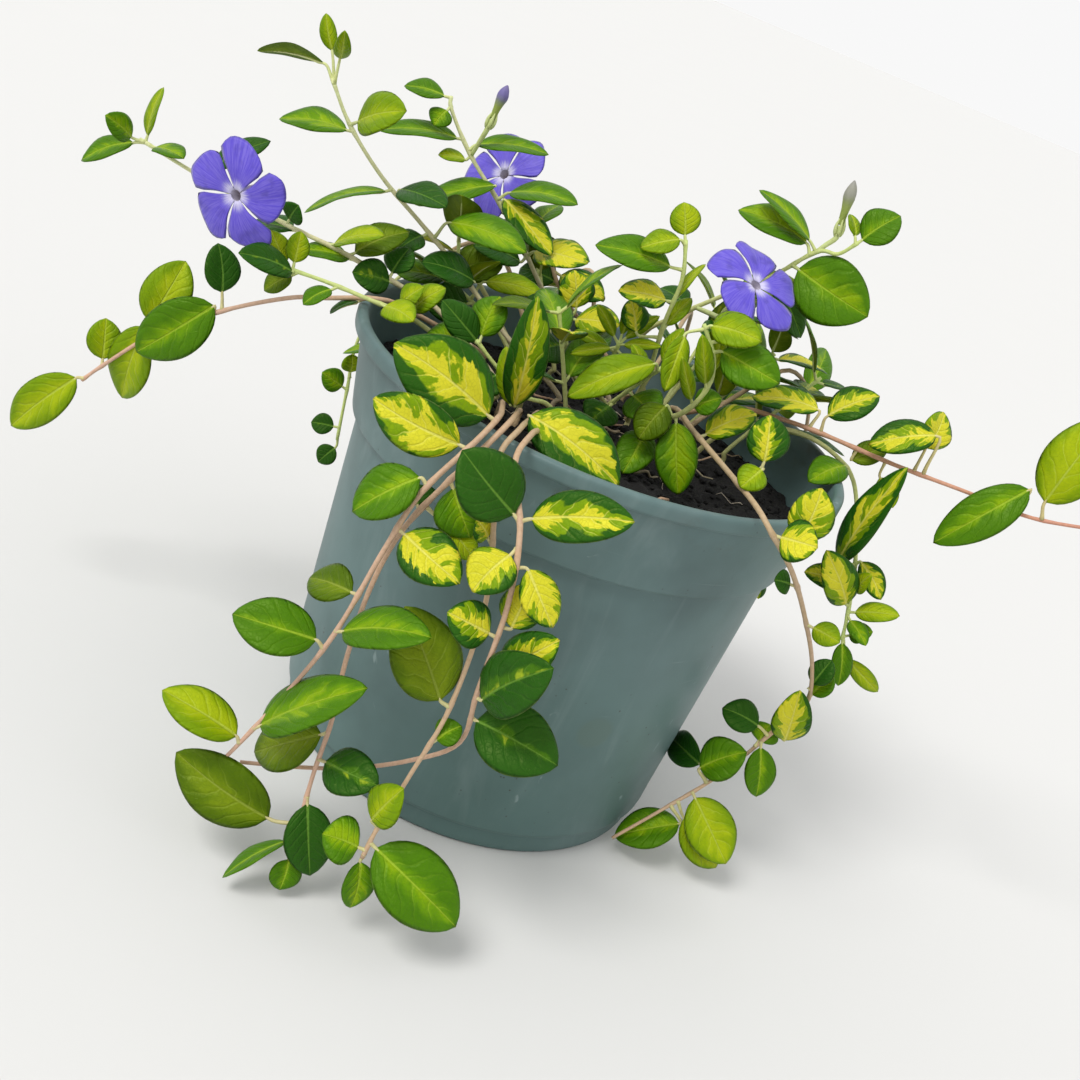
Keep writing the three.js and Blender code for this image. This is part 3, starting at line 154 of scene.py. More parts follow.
# Each stem runs from its foot in the soil through points (across, down, depth y).
# Each leaf is (foot across, foot down, tip across, tip down, how far back the tip lies, turn to the
# sky, width, first letter of its kind). A flower has the ends of its stalk, its face's middle and the
# tip of one petal. A bud has the ends of its stalk and its own tip.
STEMS = {
    "stem_left_tall": {
        "foot": (-14, 12),
        "route": [
            (508, 338, 12), (461, 273, 12), (424, 227, 12), (382, 177, 12), (350, 125, 10),
            (332, 78, 8),
        ],
        "leaves": [
            (332, 50, 326, 13, 0, 0, 5, "y"), (340, 58, 345, 30, 2, 0, 5, "y"),
            (323, 63, 257, 51, -3, 66, 9, "g"), (357, 130, 279, 119, -4, 58, 13, "g"),
            (358, 122, 407, 111, -10, 35, 14, "y"), (392, 188, 304, 213, -8, 76, 12, "g"),
            (400, 190, 447, 208, -10, 50, 13, "d"), (450, 223, 527, 253, -8, 38, 13, "g"),
            (430, 234, 398, 250, -6, 45, 11, "d"), (474, 282, 421, 262, -8, 50, 15, "d"),
        ],
    },
    "stem_back_tall": {
        "foot": (0, 34),
        "route": [
            (547, 297, 34), (527, 256, 34), (501, 206, 34), (471, 156, 32), (452, 111, 30),
            (451, 96, 30),
        ],
        "leaves": [
            (456, 94, 404, 86, -3, 52, 9, "g"), (449, 105, 434, 126, -4, 20, 8, "g"),
            (463, 138, 378, 130, -5, 60, 11, "g"), (477, 145, 549, 155, -4, 62, 11, "g"),
            (465, 160, 438, 155, -4, 55, 7, "y"), (495, 186, 415, 205, -8, 52, 11, "g"),
            (510, 193, 578, 205, -6, 58, 13, "g"), (505, 200, 552, 256, -10, 30, 11, "v"),
            (535, 252, 588, 264, -10, 45, 14, "v"), (520, 262, 473, 246, -8, 50, 13, "d"),
        ],
        "bud": [(474, 158), (492, 119, 28), (508, 85, 28)],
    },
    "stem_back_flower": {
        "foot": (6, 50),
        "route": [(566, 300, 52), (549, 256, 55), (532, 214, 58)],
        "leaves": [
            (545, 248, 590, 262, 2, 55, 12, "g"), (540, 236, 498, 222, 4, 55, 12, "d"),
            (556, 274, 604, 300, -6, 35, 13, "v"), (560, 282, 520, 268, 6, 55, 13, "d"),
        ],
        "flower": [(532, 216), (520, 190, 66), (505, 175, 56), (547, 160, 56)],
    },
    "stem_left_flower": {
        "foot": (-34, 3),
        "route": [
            (436, 308, 2), (404, 288, 0), (340, 251, -6), (293, 228, -8), (240, 199, -8),
            (183, 166, -6), (140, 139, -4),
        ],
        "leaves": [
            (133, 143, 81, 161, -4, 50, 9, "g"), (131, 137, 105, 115, -2, 20, 8, "g"),
            (142, 136, 164, 87, 3, 60, 7, "y"), (150, 144, 184, 159, -6, 55, 9, "g"),
            (214, 168, 271, 141, 8, 50, 10, "d"), (287, 222, 299, 205, -3, 20, 8, "d"),
            (326, 250, 385, 236, -5, 55, 9, "y"), (352, 250, 410, 232, 8, 40, 12, "o"),
            (300, 236, 246, 226, 6, 60, 11, "d"), (352, 262, 300, 250, -6, 60, 11, "g"),
            (400, 284, 352, 272, -8, 45, 11, "d"), (392, 280, 410, 248, 6, 35, 11, "d"),
        ],
        "flower": [(268, 214), (262, 186, -19), (237, 195, -31), (251, 142, -35)],
    },
    "stem_left_young": {
        "foot": (-31, -10),
        "route": [(438, 338, -16), (400, 311, -20), (380, 304, -22), (332, 284, -24), (287, 268, -26)],
        "leaves": [
            (283, 264, 271, 230, 1, 15, 7, "y"), (289, 264, 301, 231, 3, 15, 7, "y"),
            (292, 272, 238, 253, -4, 38, 10, "d"), (296, 276, 264, 291, -4, 40, 8, "o"),
            (408, 314, 446, 288, 3, 35, 9, "y"), (396, 306, 424, 287, 4, 40, 8, "y"),
            (380, 308, 414, 322, -8, 35, 10, "y"), (340, 290, 303, 305, -6, 55, 9, "g"),
        ],
    },
    "stem_far_left": {
        "foot": (-42, 20),
        "route": [
            (408, 310, -8), (377, 299, -17), (327, 298, -18), (288, 298, -16), (222, 311, -15),
            (153, 335, -15), (102, 366, -14), (82, 380, -14),
        ],
        "leaves": [
            (222, 292, 218, 243, 2, 15, 11, "d"), (214, 306, 136, 352, -4, 5, 17, "g"),
            (150, 322, 186, 261, 9, 10, 15, "y"), (145, 327, 122, 398, -10, 5, 15, "y"),
            (99, 360, 106, 318, 4, 10, 11, "y"), (76, 378, 11, 426, -3, 10, 14, "y"),
            (365, 300, 330, 314, -6, 55, 10, "d"),
        ],
    },
    "stem_left_hanging": {
        "foot": (-33, 34),
        "route": [
            (472, 272, 42), (444, 254, 50), (394, 282, 60), (358, 340, 62), (347, 390, 58),
            (337, 440, 54),
        ],
        "leaves": [
            (346, 392, 322, 372, -4, 10, 9, "g"), (348, 380, 352, 354, 3, 15, 8, "y"),
            (338, 430, 311, 422, 0, 10, 8, "d"), (335, 448, 318, 462, -2, 10, 8, "d"),
        ],
    },
    "trail_front_left": {
        "foot": (-27, -17),
        "route": [
            (502, 409, -50), (498, 418, -74), (474, 443, -87), (421, 493, -95), (384, 550, -99),
            (328, 643, -102), (254, 728, -104), (196, 786, -106),
        ],
        "leaves": [
            (497, 425, 394, 343, -6, 8, 20, "v"), (465, 446, 373, 398, 2, 40, 14, "v"),
            (420, 478, 352, 512, -4, 25, 14, "g"), (391, 527, 460, 584, -8, 12, 14, "v"),
            (356, 592, 309, 578, 8, 20, 11, "o"), (316, 640, 232, 614, -4, 18, 15, "g"),
            (336, 634, 432, 638, -8, 30, 13, "g"), (236, 736, 162, 690, -2, 25, 13, "y"),
            (252, 724, 368, 688, -5, 32, 15, "g"),
        ],
    },
    "trail_left_side": {
        "foot": (-21, -18),
        "route": [
            (515, 416, -50), (509, 423, -74), (486, 446, -83), (450, 480, -88), (401, 532, -91),
            (369, 591, -93), (346, 660, -96), (332, 720, -100), (314, 772, -103), (300, 820, -106),
            (290, 856, -109),
        ],
        "leaves": [
            (446, 478, 470, 538, -2, 10, 14, "g"), (420, 515, 412, 484, 6, 20, 11, "d"),
            (448, 528, 474, 560, -2, 10, 9, "y"), (318, 762, 379, 786, -6, 12, 13, "d"),
            (300, 794, 310, 876, -5, 5, 13, "d"), (292, 850, 279, 890, -4, 20, 9, "g"),
            (286, 842, 222, 878, -10, 62, 9, "g"), (322, 732, 254, 752, 6, 15, 15, "o"),
            (268, 818, 176, 752, 4, 10, 17, "o"),
        ],
    },
    "trail_front_middle": {
        "foot": (-12, -20),
        "route": [
            (540, 430, -50), (531, 435, -74), (515, 463, -88), (520, 530, -99), (508, 605, -104),
            (478, 690, -104), (460, 742, -98), (412, 760, -94), (352, 768, -93), (296, 767, -95),
            (240, 762, -98),
        ],
        "leaves": [
            (530, 416, 619, 487, -5, 0, 18, "v"), (532, 519, 635, 522, -3, 12, 13, "v"),
            (514, 522, 462, 450, -2, 10, 17, "d"), (522, 552, 472, 592, -8, 18, 13, "v"),
            (528, 570, 553, 628, -3, 15, 10, "v"), (500, 636, 447, 612, -5, 15, 12, "v"),
            (512, 628, 534, 584, 4, 15, 11, "v"), (502, 668, 560, 640, -4, 12, 12, "v"),
            (482, 700, 554, 668, -6, 8, 16, "d"), (474, 716, 558, 766, -4, 10, 18, "d"),
        ],
    },
    "trail_front_low": {
        "foot": (-16, -13),
        "route": [
            (527, 422, -50), (520, 429, -74), (499, 457, -84), (494, 520, -91), (489, 585, -93),
            (474, 645, -96), (446, 716, -102), (412, 772, -106), (378, 827, -111), (362, 858, -113),
        ],
        "leaves": [
            (440, 700, 405, 606, -2, 5, 18, "o"), (496, 548, 476, 520, 3, 20, 10, "v"),
            (372, 820, 404, 788, -2, 20, 11, "y"), (366, 848, 322, 834, -3, 15, 13, "g"),
            (360, 862, 350, 908, -3, 25, 9, "g"), (376, 848, 456, 927, -2, 5, 19, "g"),
            (430, 742, 462, 726, 4, 20, 8, "g"),
        ],
    },
    "trail_right_long": {
        "foot": (22, 30),
        "route": [
            (690, 412, 22), (738, 408, 16), (775, 417, 11), (820, 433, 8), (895, 465, 4), (969, 493, 2),
            (1032, 518, 0), (1110, 532, -4),
        ],
        "leaves": [
            (828, 416, 880, 396, 4, 30, 12, "v"), (818, 410, 752, 397, 4, 50, 13, "v"),
            (852, 460, 888, 446, 4, 40, 8, "o"), (936, 436, 868, 445, -2, 28, 12, "v"),
            (926, 448, 944, 412, 4, 35, 11, "v"), (1029, 490, 933, 543, -4, 32, 14, "g"),
            (1045, 502, 1108, 418, 3, 5, 18, "y"), (1112, 520, 1172, 500, 4, 30, 14, "y"),
            (1108, 540, 1150, 588, -4, 20, 13, "g"), (880, 478, 893, 508, -3, 20, 7, "y"),
        ],
    },
    "trail_right_low": {
        "foot": (16, 8),
        "route": [
            (672, 408, -4), (694, 432, -18), (735, 480, -46), (756, 506, -61), (770, 530, -68),
            (792, 572, -62), (805, 618, -46), (812, 665, -32), (806, 704, -25), (775, 730, -22),
            (721, 774, -24), (663, 809, -30), (612, 838, -37),
        ],
        "leaves": [
            (705, 434, 757, 414, 4, 38, 12, "v"), (764, 462, 770, 415, 4, 15, 12, "v"),
            (762, 470, 740, 488, -4, 20, 9, "y"), (776, 536, 818, 548, -5, 15, 12, "v"),
            (799, 540, 822, 488, 4, 12, 12, "v"), (799, 586, 774, 580, -3, 20, 7, "d"),
            (806, 625, 840, 643, -4, 25, 8, "y"), (815, 690, 832, 660, 4, 15, 8, "d"),
            (810, 700, 834, 677, 3, 20, 8, "g"), (758, 726, 722, 708, 2, 18, 11, "d"),
            (785, 740, 800, 690, -4, 12, 12, "v"), (765, 744, 756, 797, -3, 12, 10, "g"),
            (752, 748, 770, 724, 4, 15, 10, "g"), (700, 768, 747, 752, -2, 12, 14, "g"),
            (700, 764, 671, 737, 20, 12, 11, "d"), (679, 824, 614, 836, -4, 25, 14, "g"),
            (684, 818, 716, 868, -3, 10, 13, "y"), (695, 790, 726, 864, -8, 8, 16, "y"),
        ],
    },
    "trail_right_side": {
        "foot": (34, 13),
        "route": [
            (738, 426, 10), (802, 434, 12), (847, 468, 12), (857, 510, 10), (855, 565, 4),
            (848, 612, 0), (842, 640, -2),
        ],
        "leaves": [
            (838, 562, 908, 467, -12, 22, 11, "v"), (861, 562, 881, 600, -4, 20, 8, "v"),
            (852, 611, 900, 616, -4, 35, 8, "y"), (846, 604, 826, 550, -12, 15, 12, "v"),
            (836, 582, 804, 572, -8, 20, 8, "v"), (845, 466, 808, 482, -8, 25, 11, "g"),
            (847, 636, 873, 632, -4, 20, 7, "g"), (845, 642, 838, 686, -4, 15, 7, "g"),
            (848, 660, 878, 692, 0, 20, 6, "y"), (852, 618, 866, 646, -6, 20, 6, "g"),
            (850, 596, 872, 574, -6, 20, 6, "y"),
        ],
    },
    "shoot_right_upright": {
        "foot": (10, 16),
        "route": [(631, 404, 2), (647, 378, -2), (664, 324, -6), (682, 280, -8), (686, 240, -8)],
        "leaves": [
            (670, 267, 595, 245, -4, 40, 12, "g"), (680, 240, 640, 248, -4, 40, 9, "y"),
            (685, 235, 684, 202, 2, 10, 9, "y"), (668, 299, 618, 291, -5, 45, 11, "v"),
            (636, 332, 631, 299, 4, 25, 9, "v"), (662, 330, 692, 298, 5, 30, 6, "y"),
            (648, 376, 618, 356, 4, 30, 7, "y"), (672, 300, 706, 264, 4, 55, 5, "y"),
        ],
    },
    "shoot_right_flower": {
        "foot": (14, 36),
        "route": [
            (640, 340, 24), (682, 314, 17), (720, 297, 17), (769, 278, 16), (816, 252, 13),
            (838, 254, 10), (858, 243, 8),
        ],
        "leaves": [
            (793, 261, 868, 317, -8, 5, 20, "g"), (806, 243, 738, 210, 3, 48, 13, "g"),
            (809, 240, 759, 190, 6, 62, 10, "g"), (862, 241, 901, 216, 2, 25, 12, "g"),
            (855, 236, 850, 214, 4, 30, 6, "y"), (776, 283, 801, 338, 4, 25, 10, "d"),
            (733, 290, 800, 284, 8, 60, 11, "y"), (690, 306, 660, 288, 6, 50, 11, "d"),
        ],
        "flower": [(697, 308), (728, 312, 3), (755, 286, -4), (721, 257, -4)],
        "bud": [(816, 252), (840, 226, 13), (855, 180, 14)],
    },
    "shoot_right_young": {
        "foot": (12, -4),
        "route": [(652, 424, -14), (684, 412, -22), (706, 390, -24), (714, 362, -24), (704, 324, -24)],
        "leaves": [
            (702, 388, 702, 334, -6, 20, 6, "y"), (712, 326, 762, 342, -6, 25, 11, "y"),
            (684, 336, 664, 392, -8, 20, 7.5, "y"), (708, 378, 722, 330, -8, 20, 4.5, "y"),
            (690, 404, 682, 356, -8, 20, 4.5, "y"), (722, 352, 780, 384, -6, 20, 14, "g"),
            (690, 411, 722, 398, 0, 30, 9, "g"), (666, 406, 638, 440, -6, 10, 11, "o"),
            (677, 418, 678, 495, -6, 5, 12.5, "g"), (652, 430, 622, 474, -4, 10, 12, "g"),
            (720, 340, 745, 314, 6, 30, 11, "y"),
        ],
    },
    "shoot_centre_light": {
        "foot": (3, 2),
        "route": [(604, 410, -8), (632, 388, -14), (662, 368, -18)],
        "leaves": [
            (655, 364, 567, 397, -10, 28, 12, "y"), (664, 364, 684, 328, 2, 30, 6, "y"),
            (646, 378, 632, 344, 2, 30, 5, "y"), (612, 402, 590, 424, -8, 20, 12, "d"),
            (628, 392, 655, 420, -8, 20, 13, "g"),
        ],
    },
    "shoot_centre_narrow": {
        "foot": (-4, -24),
        "route": [(550, 407, -28), (534, 400, -36), (519, 397, -42)],
        "leaves": [
            (514, 406, 538, 296, -4, 20, 12, "v"), (510, 404, 506, 346, 4, 25, 8, "y"),
        ],
    },
    "shoot_rosette": {
        "foot": (4, 14),
        "route": [(596, 386, 6), (610, 362, 2), (620, 342, -2)],
        "leaves": [
            (614, 344, 570, 354, -4, 25, 4.5, "y"), (610, 349, 574, 330, -2, 25, 4.5, "y"),
            (614, 336, 597, 304, 0, 20, 4.5, "y"), (622, 334, 629, 300, 2, 20, 4, "y"),
            (626, 338, 660, 316, 0, 25, 4.5, "y"), (622, 347, 662, 347, -4, 25, 4, "y"),
            (619, 352, 646, 378, -5, 20, 4.5, "y"), (609, 356, 596, 388, -6, 20, 4.5, "y"),
        ],
    },
    "shoot_centre_back": {
        "foot": (0, 14),
        "route": [(572, 372, 14), (566, 340, 14), (570, 316, 14)],
        "leaves": [
            (574, 318, 620, 326, -6, 40, 12, "v"), (576, 308, 574, 270, 2, 20, 12, "v"),
            (564, 318, 524, 300, -2, 45, 12, "d"), (566, 344, 530, 352, -8, 30, 13, "d"),
        ],
    },
    "shoot_left_dark": {
        "foot": (-22, -12),
        "route": [(520, 392, -16), (496, 366, -20), (476, 340, -22)],
        "leaves": [
            (484, 346, 442, 300, -2, 20, 10, "d"), (478, 338, 500, 296, 2, 25, 12, "g"),
            (470, 340, 420, 342, -6, 45, 13, "g"), (504, 372, 470, 390, -8, 30, 13, "d"),
        ],
    },
    "shoot_left_olive": {
        "foot": (-28, 14),
        "route": [(498, 330, 20), (470, 300, 22), (448, 278, 24)],
        "leaves": [
            (446, 278, 394, 270, -4, 50, 12, "g"), (452, 272, 504, 262, 2, 50, 14, "o"),
            (486, 282, 544, 296, 2, 40, 9, "y"), (470, 306, 424, 302, -6, 50, 13, "d"),
        ],
    },
}

# Shoots that fill the crown: (foot x, foot y, top x, top y, top z, pairs of leaves)
CROWN_SHOOTS = [
    (-8, -8, -22, -12, 150, 3),
    (18, 30, 30, 46, 158, 3),
    (-20, 42, -46, 58, 156, 3),
    (30, 38, 46, 42, 150, 3),
    (-50, 16, -62, 26, 150, 2),
    (20, 52, 26, 74, 150, 3),
    (44, 28, 62, 36, 150, 3),
]

# Trails over the hidden back of the rim: (angle in degrees, length that hangs)
BACK_TRAILS = [(38, 66), (74, 104), (104, 82), (136, 70)]
TRAIL_DROPS = [(-4, 0, 0.07), (0, 0.4, 0.03), (2, 0.75, 0.08), (1, 1, 0.02)]

# How a blade may have given way to its neighbours: how far back its tip moved, and how much it turned
DEPTH_SHIFTS = [0, -4, 4, -8, 8, -12, 12, -16, 16]
TURN_SHIFTS = [0, 24, -24, 48, -48]
SHIFTS = sorted(
    [(depth, turn) for depth in DEPTH_SHIFTS for turn in TURN_SHIFTS],
    key=lambda shift: abs(shift[0]) / 4 + abs(shift[1]) / 24,
)
SAME_PLACE = 0.15
LEAVES_TO_FIND = 0.9

# The colours of bark at a stem's foot and at its tip
BARKS = {
    "tan": ((0.44, 0.34, 0.19), (0.52, 0.36, 0.23)),
    "pink": ((0.46, 0.34, 0.19), (0.60, 0.38, 0.28)),
    "red": ((0.46, 0.34, 0.18), (0.55, 0.25, 0.17)),
    "limed": ((0.56, 0.42, 0.31), (0.66, 0.72, 0.36)),
    "fresh": ((0.50, 0.44, 0.22), (0.52, 0.64, 0.20)),
}
STEM_BARKS = {
    "pink": ["trail_front_left", "trail_left_side", "trail_front_middle", "stem_far_left"],
    "red": ["trail_right_long"],
    "limed": ["stem_left_tall", "stem_back_tall", "stem_left_flower"],
    "fresh": ["trail_right_side", "stem_left_hanging", "stem_left_young"],
}


# Places seen in the picture


def seen_at(across, down, depth):
    """The point that is seen at a place in the picture and lies at a depth y."""
    ray = -BACK + ACROSS * (across - MIDDLE) / FOCAL + UPWARD * (MIDDLE - down) / FOCAL
    return EYE + ray * (depth - EYE[1]) / ray[1]


def picture_of(point):
    """The place in the picture at which a point is seen."""
    offset = point - EYE
    scale = -FOCAL / offset.dot(BACK)
    return MIDDLE + scale * offset.dot(ACROSS), MIDDLE - scale * offset.dot(UPWARD)


def scatter(number):
    """A steady scatter between -1 and 1, the same for the same number."""
    value = math.sin(number * 12.9898 + 4.1) * 43.7585
    return 2 * (value - math.floor(value)) - 1


def smooth(value, low, high):
    share = np.clip((value - low) / (high - low), 0, 1)
    return share * share * (3 - 2 * share)


def turned_about(vector, axis, angle):
    """A vector turned about an axis."""
    return (
        vector * math.cos(angle)
        + np.cross(axis, vector) * math.sin(angle)
        + axis * axis.dot(vector) * (1 - math.cos(angle))
    )


def square_to(along, wanted):
    """The direction nearest to a wanted one that is square to another."""
    return unit(wanted - along * wanted.dot(along))


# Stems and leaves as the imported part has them


def curve_through(marks, steps):
    """Points on a smooth curve through marks, with a number of steps for each span."""
    before = 2 * marks[0] - marks[1]
    after = 2 * marks[-1] - marks[-2]
    padded = [before, *marks, after]
    points = []
    for i, count in enumerate(steps):
        start, low, high, end = padded[i : i + 4]
        leaving = 0.5 * (high - start)
        arriving = 0.5 * (end - low)
        for j in range(count):
            t = j / count
            points.append(
                (2 * t**3 - 3 * t**2 + 1) * low
                + (t**3 - 2 * t**2 + t) * leaving
                + (3 * t**2 - 2 * t**3) * high
                + (t**3 - t**2) * arriving
            )
    points.append(marks[-1])
    return points


def stem_marks(foot, route):
    ground = [SOIL_TOP - HOLE_DEPTH, SOIL_TOP + 1, SOIL_TOP + 6]
    return [np.array([foot[0], foot[1], height], float) for height in ground] + route


def span_steps(marks):
    gaps = [np.linalg.norm(after - before) for before, after in zip(marks, marks[1:])]
    return [max(1, math.floor(gap / STEM_STEP + 0.5)) for gap in gaps]


def crown_route(shoot):
    top = np.array(shoot[2:5], float)
    foot = np.array([shoot[0], shoot[1], SOIL_TOP], float)
    middle = foot + (top - foot) * 0.6 + 3 * UP
    return [middle, top]


def trail_route(degrees, length):
    hook = TRAIL_CREST - TRAIL_HOOK
    marks = [(TRAIL_FOOT_RADIUS + 16, hook, 0.02), (LIP_RADIUS - 8, TRAIL_CREST, 0.05)]
    marks += [(TRAIL_REACH + out, hook - length * drop, sway) for out, drop, sway in TRAIL_DROPS]
    angle = math.radians(degrees)
    return [
        np.array([radius * math.cos(angle + sway), radius * math.sin(angle + sway), height])
        for radius, height, sway in marks
    ]


def nearest_on_stem(spine, across, down):
    """The point of a stem, clear of the soil, that is seen nearest to a place in the picture."""
    nearest = math.inf
    found = None
    for i in range(2, len(spine) - 1):
        for j in range(8):
            point = spine[i] + (spine[i + 1] - spine[i]) * j / 8
            seen = picture_of(point)
            distance = math.hypot(seen[0] - across, seen[1] - down)
            if distance < nearest - 1e-6:
                nearest = distance
                found = point
    return found


def along_stem(spine, share):
    place = min(share, 0.98) * (len(spine) - 1)
    i = math.floor(place)
    way = spine[i + 1] - spine[i]
    return spine[i] + way * (place - i), unit(way)


def blade_shape(share):
    """The half width of a blade at a share of its length: widest before the middle."""
    return share**0.6 * (1 - share) ** 0.72 / 0.4027


class Pose:
    """Where a leaf stands: its root in the stem, the blade's base and tip, its upper side and width."""

    def __init__(self, root, base, tip, normal, width):
        self.root = root
        self.base = base
        self.tip = tip
        self.normal = normal
        self.width = width
        self.length = float(np.linalg.norm(tip - base))
        self.along = unit(tip - base)
        self.side = np.cross(self.along, normal)

    def edge_points(self):
        """The tip and four points on the blade's edges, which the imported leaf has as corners."""
        points = [self.tip]
        for share in LONG_STATIONS if self.length > LONG_BLADE else SHORT_STATIONS:
            half = self.width / 2 * blade_shape(share)
            centre = self.on_midrib(share, half * BLADE_FOLD)
            points += [centre - self.side * half, centre + self.side * half]
        return points

    def on_midrib(self, share, above=0.0):
        """A point over the arched middle of the blade."""
        arch = BLADE_ARCH * self.length * 4 * share * (1 - share)
        return self.base + (self.tip - self.base) * share + self.normal * (arch + above)


def drawn_pose(spine, leaf, shift):
    """The pose of a leaf that is drawn in the picture."""
    foot_across, foot_down, tip_across, tip_down, back, sky, width, kind = leaf
    depth, turn = shift
    root = nearest_on_stem(spine, foot_across, foot_down)
    base = seen_at(foot_across, foot_down, root[1] + (back + depth) * BASE_SHIFT)
    tip = seen_at(tip_across, tip_down, root[1] + back + depth)
    if np.linalg.norm(base - root) < SHORTEST_PETIOLE:
        base = root + unit(tip - root) * SHORTEST_PETIOLE
    along = unit(tip - base)
    facing = square_to(along, EYE - base)
    sideways = np.cross(along, facing)
    if sideways[2] < 0:
        sideways = -sideways
    angle = math.radians(sky + turn)
    return Pose(root, base, tip, facing * math.cos(angle) + sideways * math.sin(angle), width)


def rule_pose(spine, leaf, shift):
    """The pose of a leaf that is set by rule."""
    share, azimuth, lean, length, width = leaf
    depth, turn = shift
    root, stemway = along_stem(spine, share)
    outward = square_to(stemway, np.array([math.cos(0.4), math.sin(0.4), 0.3]))
    outward = turned_about(outward, stemway, math.radians(azimuth + turn))
    angle = math.radians(lean + depth * 3)
    away = outward * math.sin(angle) + stemway * math.cos(angle)
    base = root + away * RULE_PETIOLE
    return Pose(root, base, base + away * length, square_to(away, UP + stemway * 0.5), width)


def pair_leaves(pairs, start, seed):
    """Pairs of leaves by rule, each pair turned a right angle from the one before."""
    leaves = []
    for pair in range(pairs):
        for half in (0, 1):
            number = seed * 40 + pair * 2 + half
            size = 1 + 0.2 * scatter(number)
            leaves.append((
                start + (1 - start) * (pair + 0.8) / pairs,
                pair * 90 + half * 180 + 20 * scatter(number + 0.3),
                RULE_LEAF_LEAN + 12 * scatter(number + 0.6),
                RULE_LEAF_LENGTH * size * (0.8 if pair == pairs - 1 else 1),
                RULE_LEAF_WIDTH * size,
            ))
    return leaves


def node_surface(name):
    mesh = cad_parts[name].data
    corners = [vertex.co.copy() for vertex in mesh.vertices]
    return BVHTree.FromPolygons(corners, [list(face.vertices) for face in mesh.polygons])


def packed_pose(surface, plan, leaf):
    """The one of a leaf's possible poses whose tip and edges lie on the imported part, or None."""
    best = None
    most = 2
    for shift in SHIFTS:
        pose = plan.pose_for(plan.spine, leaf, shift)
        gaps = [surface.find_nearest(Vector(point * MM))[3] / MM for point in pose.edge_points()]
        near = sum(gap < SAME_PLACE for gap in gaps)
        if gaps[0] < SAME_PLACE and near > most:
            best = pose
            most = near
        if near == len(gaps):
            break
    return best


# Skins of pieces


def placed(name, data):
    """A new object in the scene."""
    made = bpy.data.objects.new(name, data)
    bpy.context.scene.collection.objects.link(made)
    return made


def mesh_of(name, shape):
    """A mesh made of a bmesh, which is then freed."""
    mesh = bpy.data.meshes.new(name)
    shape.to_mesh(mesh)
    shape.free()
    return mesh


class Skin:
    """Gathers the surfaces of one piece, with the marks on its points that the finishes read."""

    def __init__(self):
        self.points = []
        self.faces = []
        self.slots = []
        self.marks = {"leaf": [], "place": [], "tint": []}
        self.count = 0

    def add(self, points, faces, slot, **marks):
        self.points.append(np.asarray(points, float))
        self.faces += [tuple(corner + self.count for corner in face) for face in faces]
        self.slots += [slot] * len(faces) if isinstance(slot, int) else list(slot)
        for name, rows in self.marks.items():
            given = np.zeros((len(points), 3))
            given[:] = marks.get(name, (0, 0, 0))
            rows.append(given)
        self.count += len(points)

    def made(self, name, finishes):
        """The piece as a smooth mesh object in metres, riding on the part's body."""
        mesh = bpy.data.meshes.new(name)
        mesh.from_pydata((np.concatenate(self.points) * MM).tolist(), [], self.faces)
        for finish in finishes:
            mesh.materials.append(finish)
        mesh.polygons.foreach_set("material_index", np.array(self.slots, np.int32))
        for mark, rows in self.marks.items():
            values = np.concatenate(rows)
            if values.any():
                layer = mesh.attributes.new(mark, "FLOAT_VECTOR", "POINT")
                layer.data.foreach_set("vector", values.astype(np.float32).ravel())
        mesh.shade_smooth()
        mesh.update()
        made = placed(name, mesh)
        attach(made, BODY)
        return made


def ring_faces(rings, sides):
    """Faces between rings of points, closed at the ends by the two points that follow the rings."""
    faces = []
    last = (rings - 1) * sides
    for j in range(sides):
        k = (j + 1) % sides
        for low in range(0, last, sides):
            faces.append((low + j, low + k, low + sides + k, low + sides + j))
        faces.append((k, j, last + sides))
        faces.append((last + j, last + k, last + sides + 1))
    return faces


def ring_angles(sides):
    return 2 * np.pi * np.arange(sides) / sides


def ring_about(first, second, angles):
    """A circle's points about the origin, given two directions square to each other."""
    return np.outer(np.cos(angles), first) + np.outer(np.sin(angles), second)


def tube_skin(points, radii, sides):
    """A closed tube along points, with a radius at each, and its faces."""
    points = np.asarray(points, float)
    first = np.array([1, 0.2, 0.1])
    rings = []
    for i, point in enumerate(points):
        along = unit(points[min(i + 1, len(points) - 1)] - points[max(i - 1, 0)])
        first = square_to(along, first)
        rings.append(point + radii[i] * ring_about(first, np.cross(along, first), ring_angles(sides)))
    return np.concatenate([*rings, points[:1], points[-1:]]), ring_faces(len(points), sides)


def sheet_faces(rows, columns, upper, lower):
    """Faces between an upper and a lower grid of points that share their long edges and far end.

    The near end is closed by a strip whose first and last faces are triangles, at the shared edges.
    """
    faces = []
    sides = []
    for i in range(rows - 1):
        for j in range(columns - 1):
            faces.append((upper[i][j], upper[i][j + 1], upper[i + 1][j + 1], upper[i + 1][j]))
            sides.append(0)
            faces.append((lower[i][j], lower[i + 1][j], lower[i + 1][j + 1], lower[i][j + 1]))
            sides.append(1)
    for j in range(columns - 1):
        corners = (lower[0][j], lower[0][j + 1], upper[0][j + 1], upper[0][j])
        faces.append(tuple(dict.fromkeys(corners)))
        sides.append(1)
    return faces, sides


# Leaves

LEAF_KINDS = ["young", "green", "dark", "variegated", "olive"]
KIND_OF_LETTER = {kind[0]: kind for kind in LEAF_KINDS}
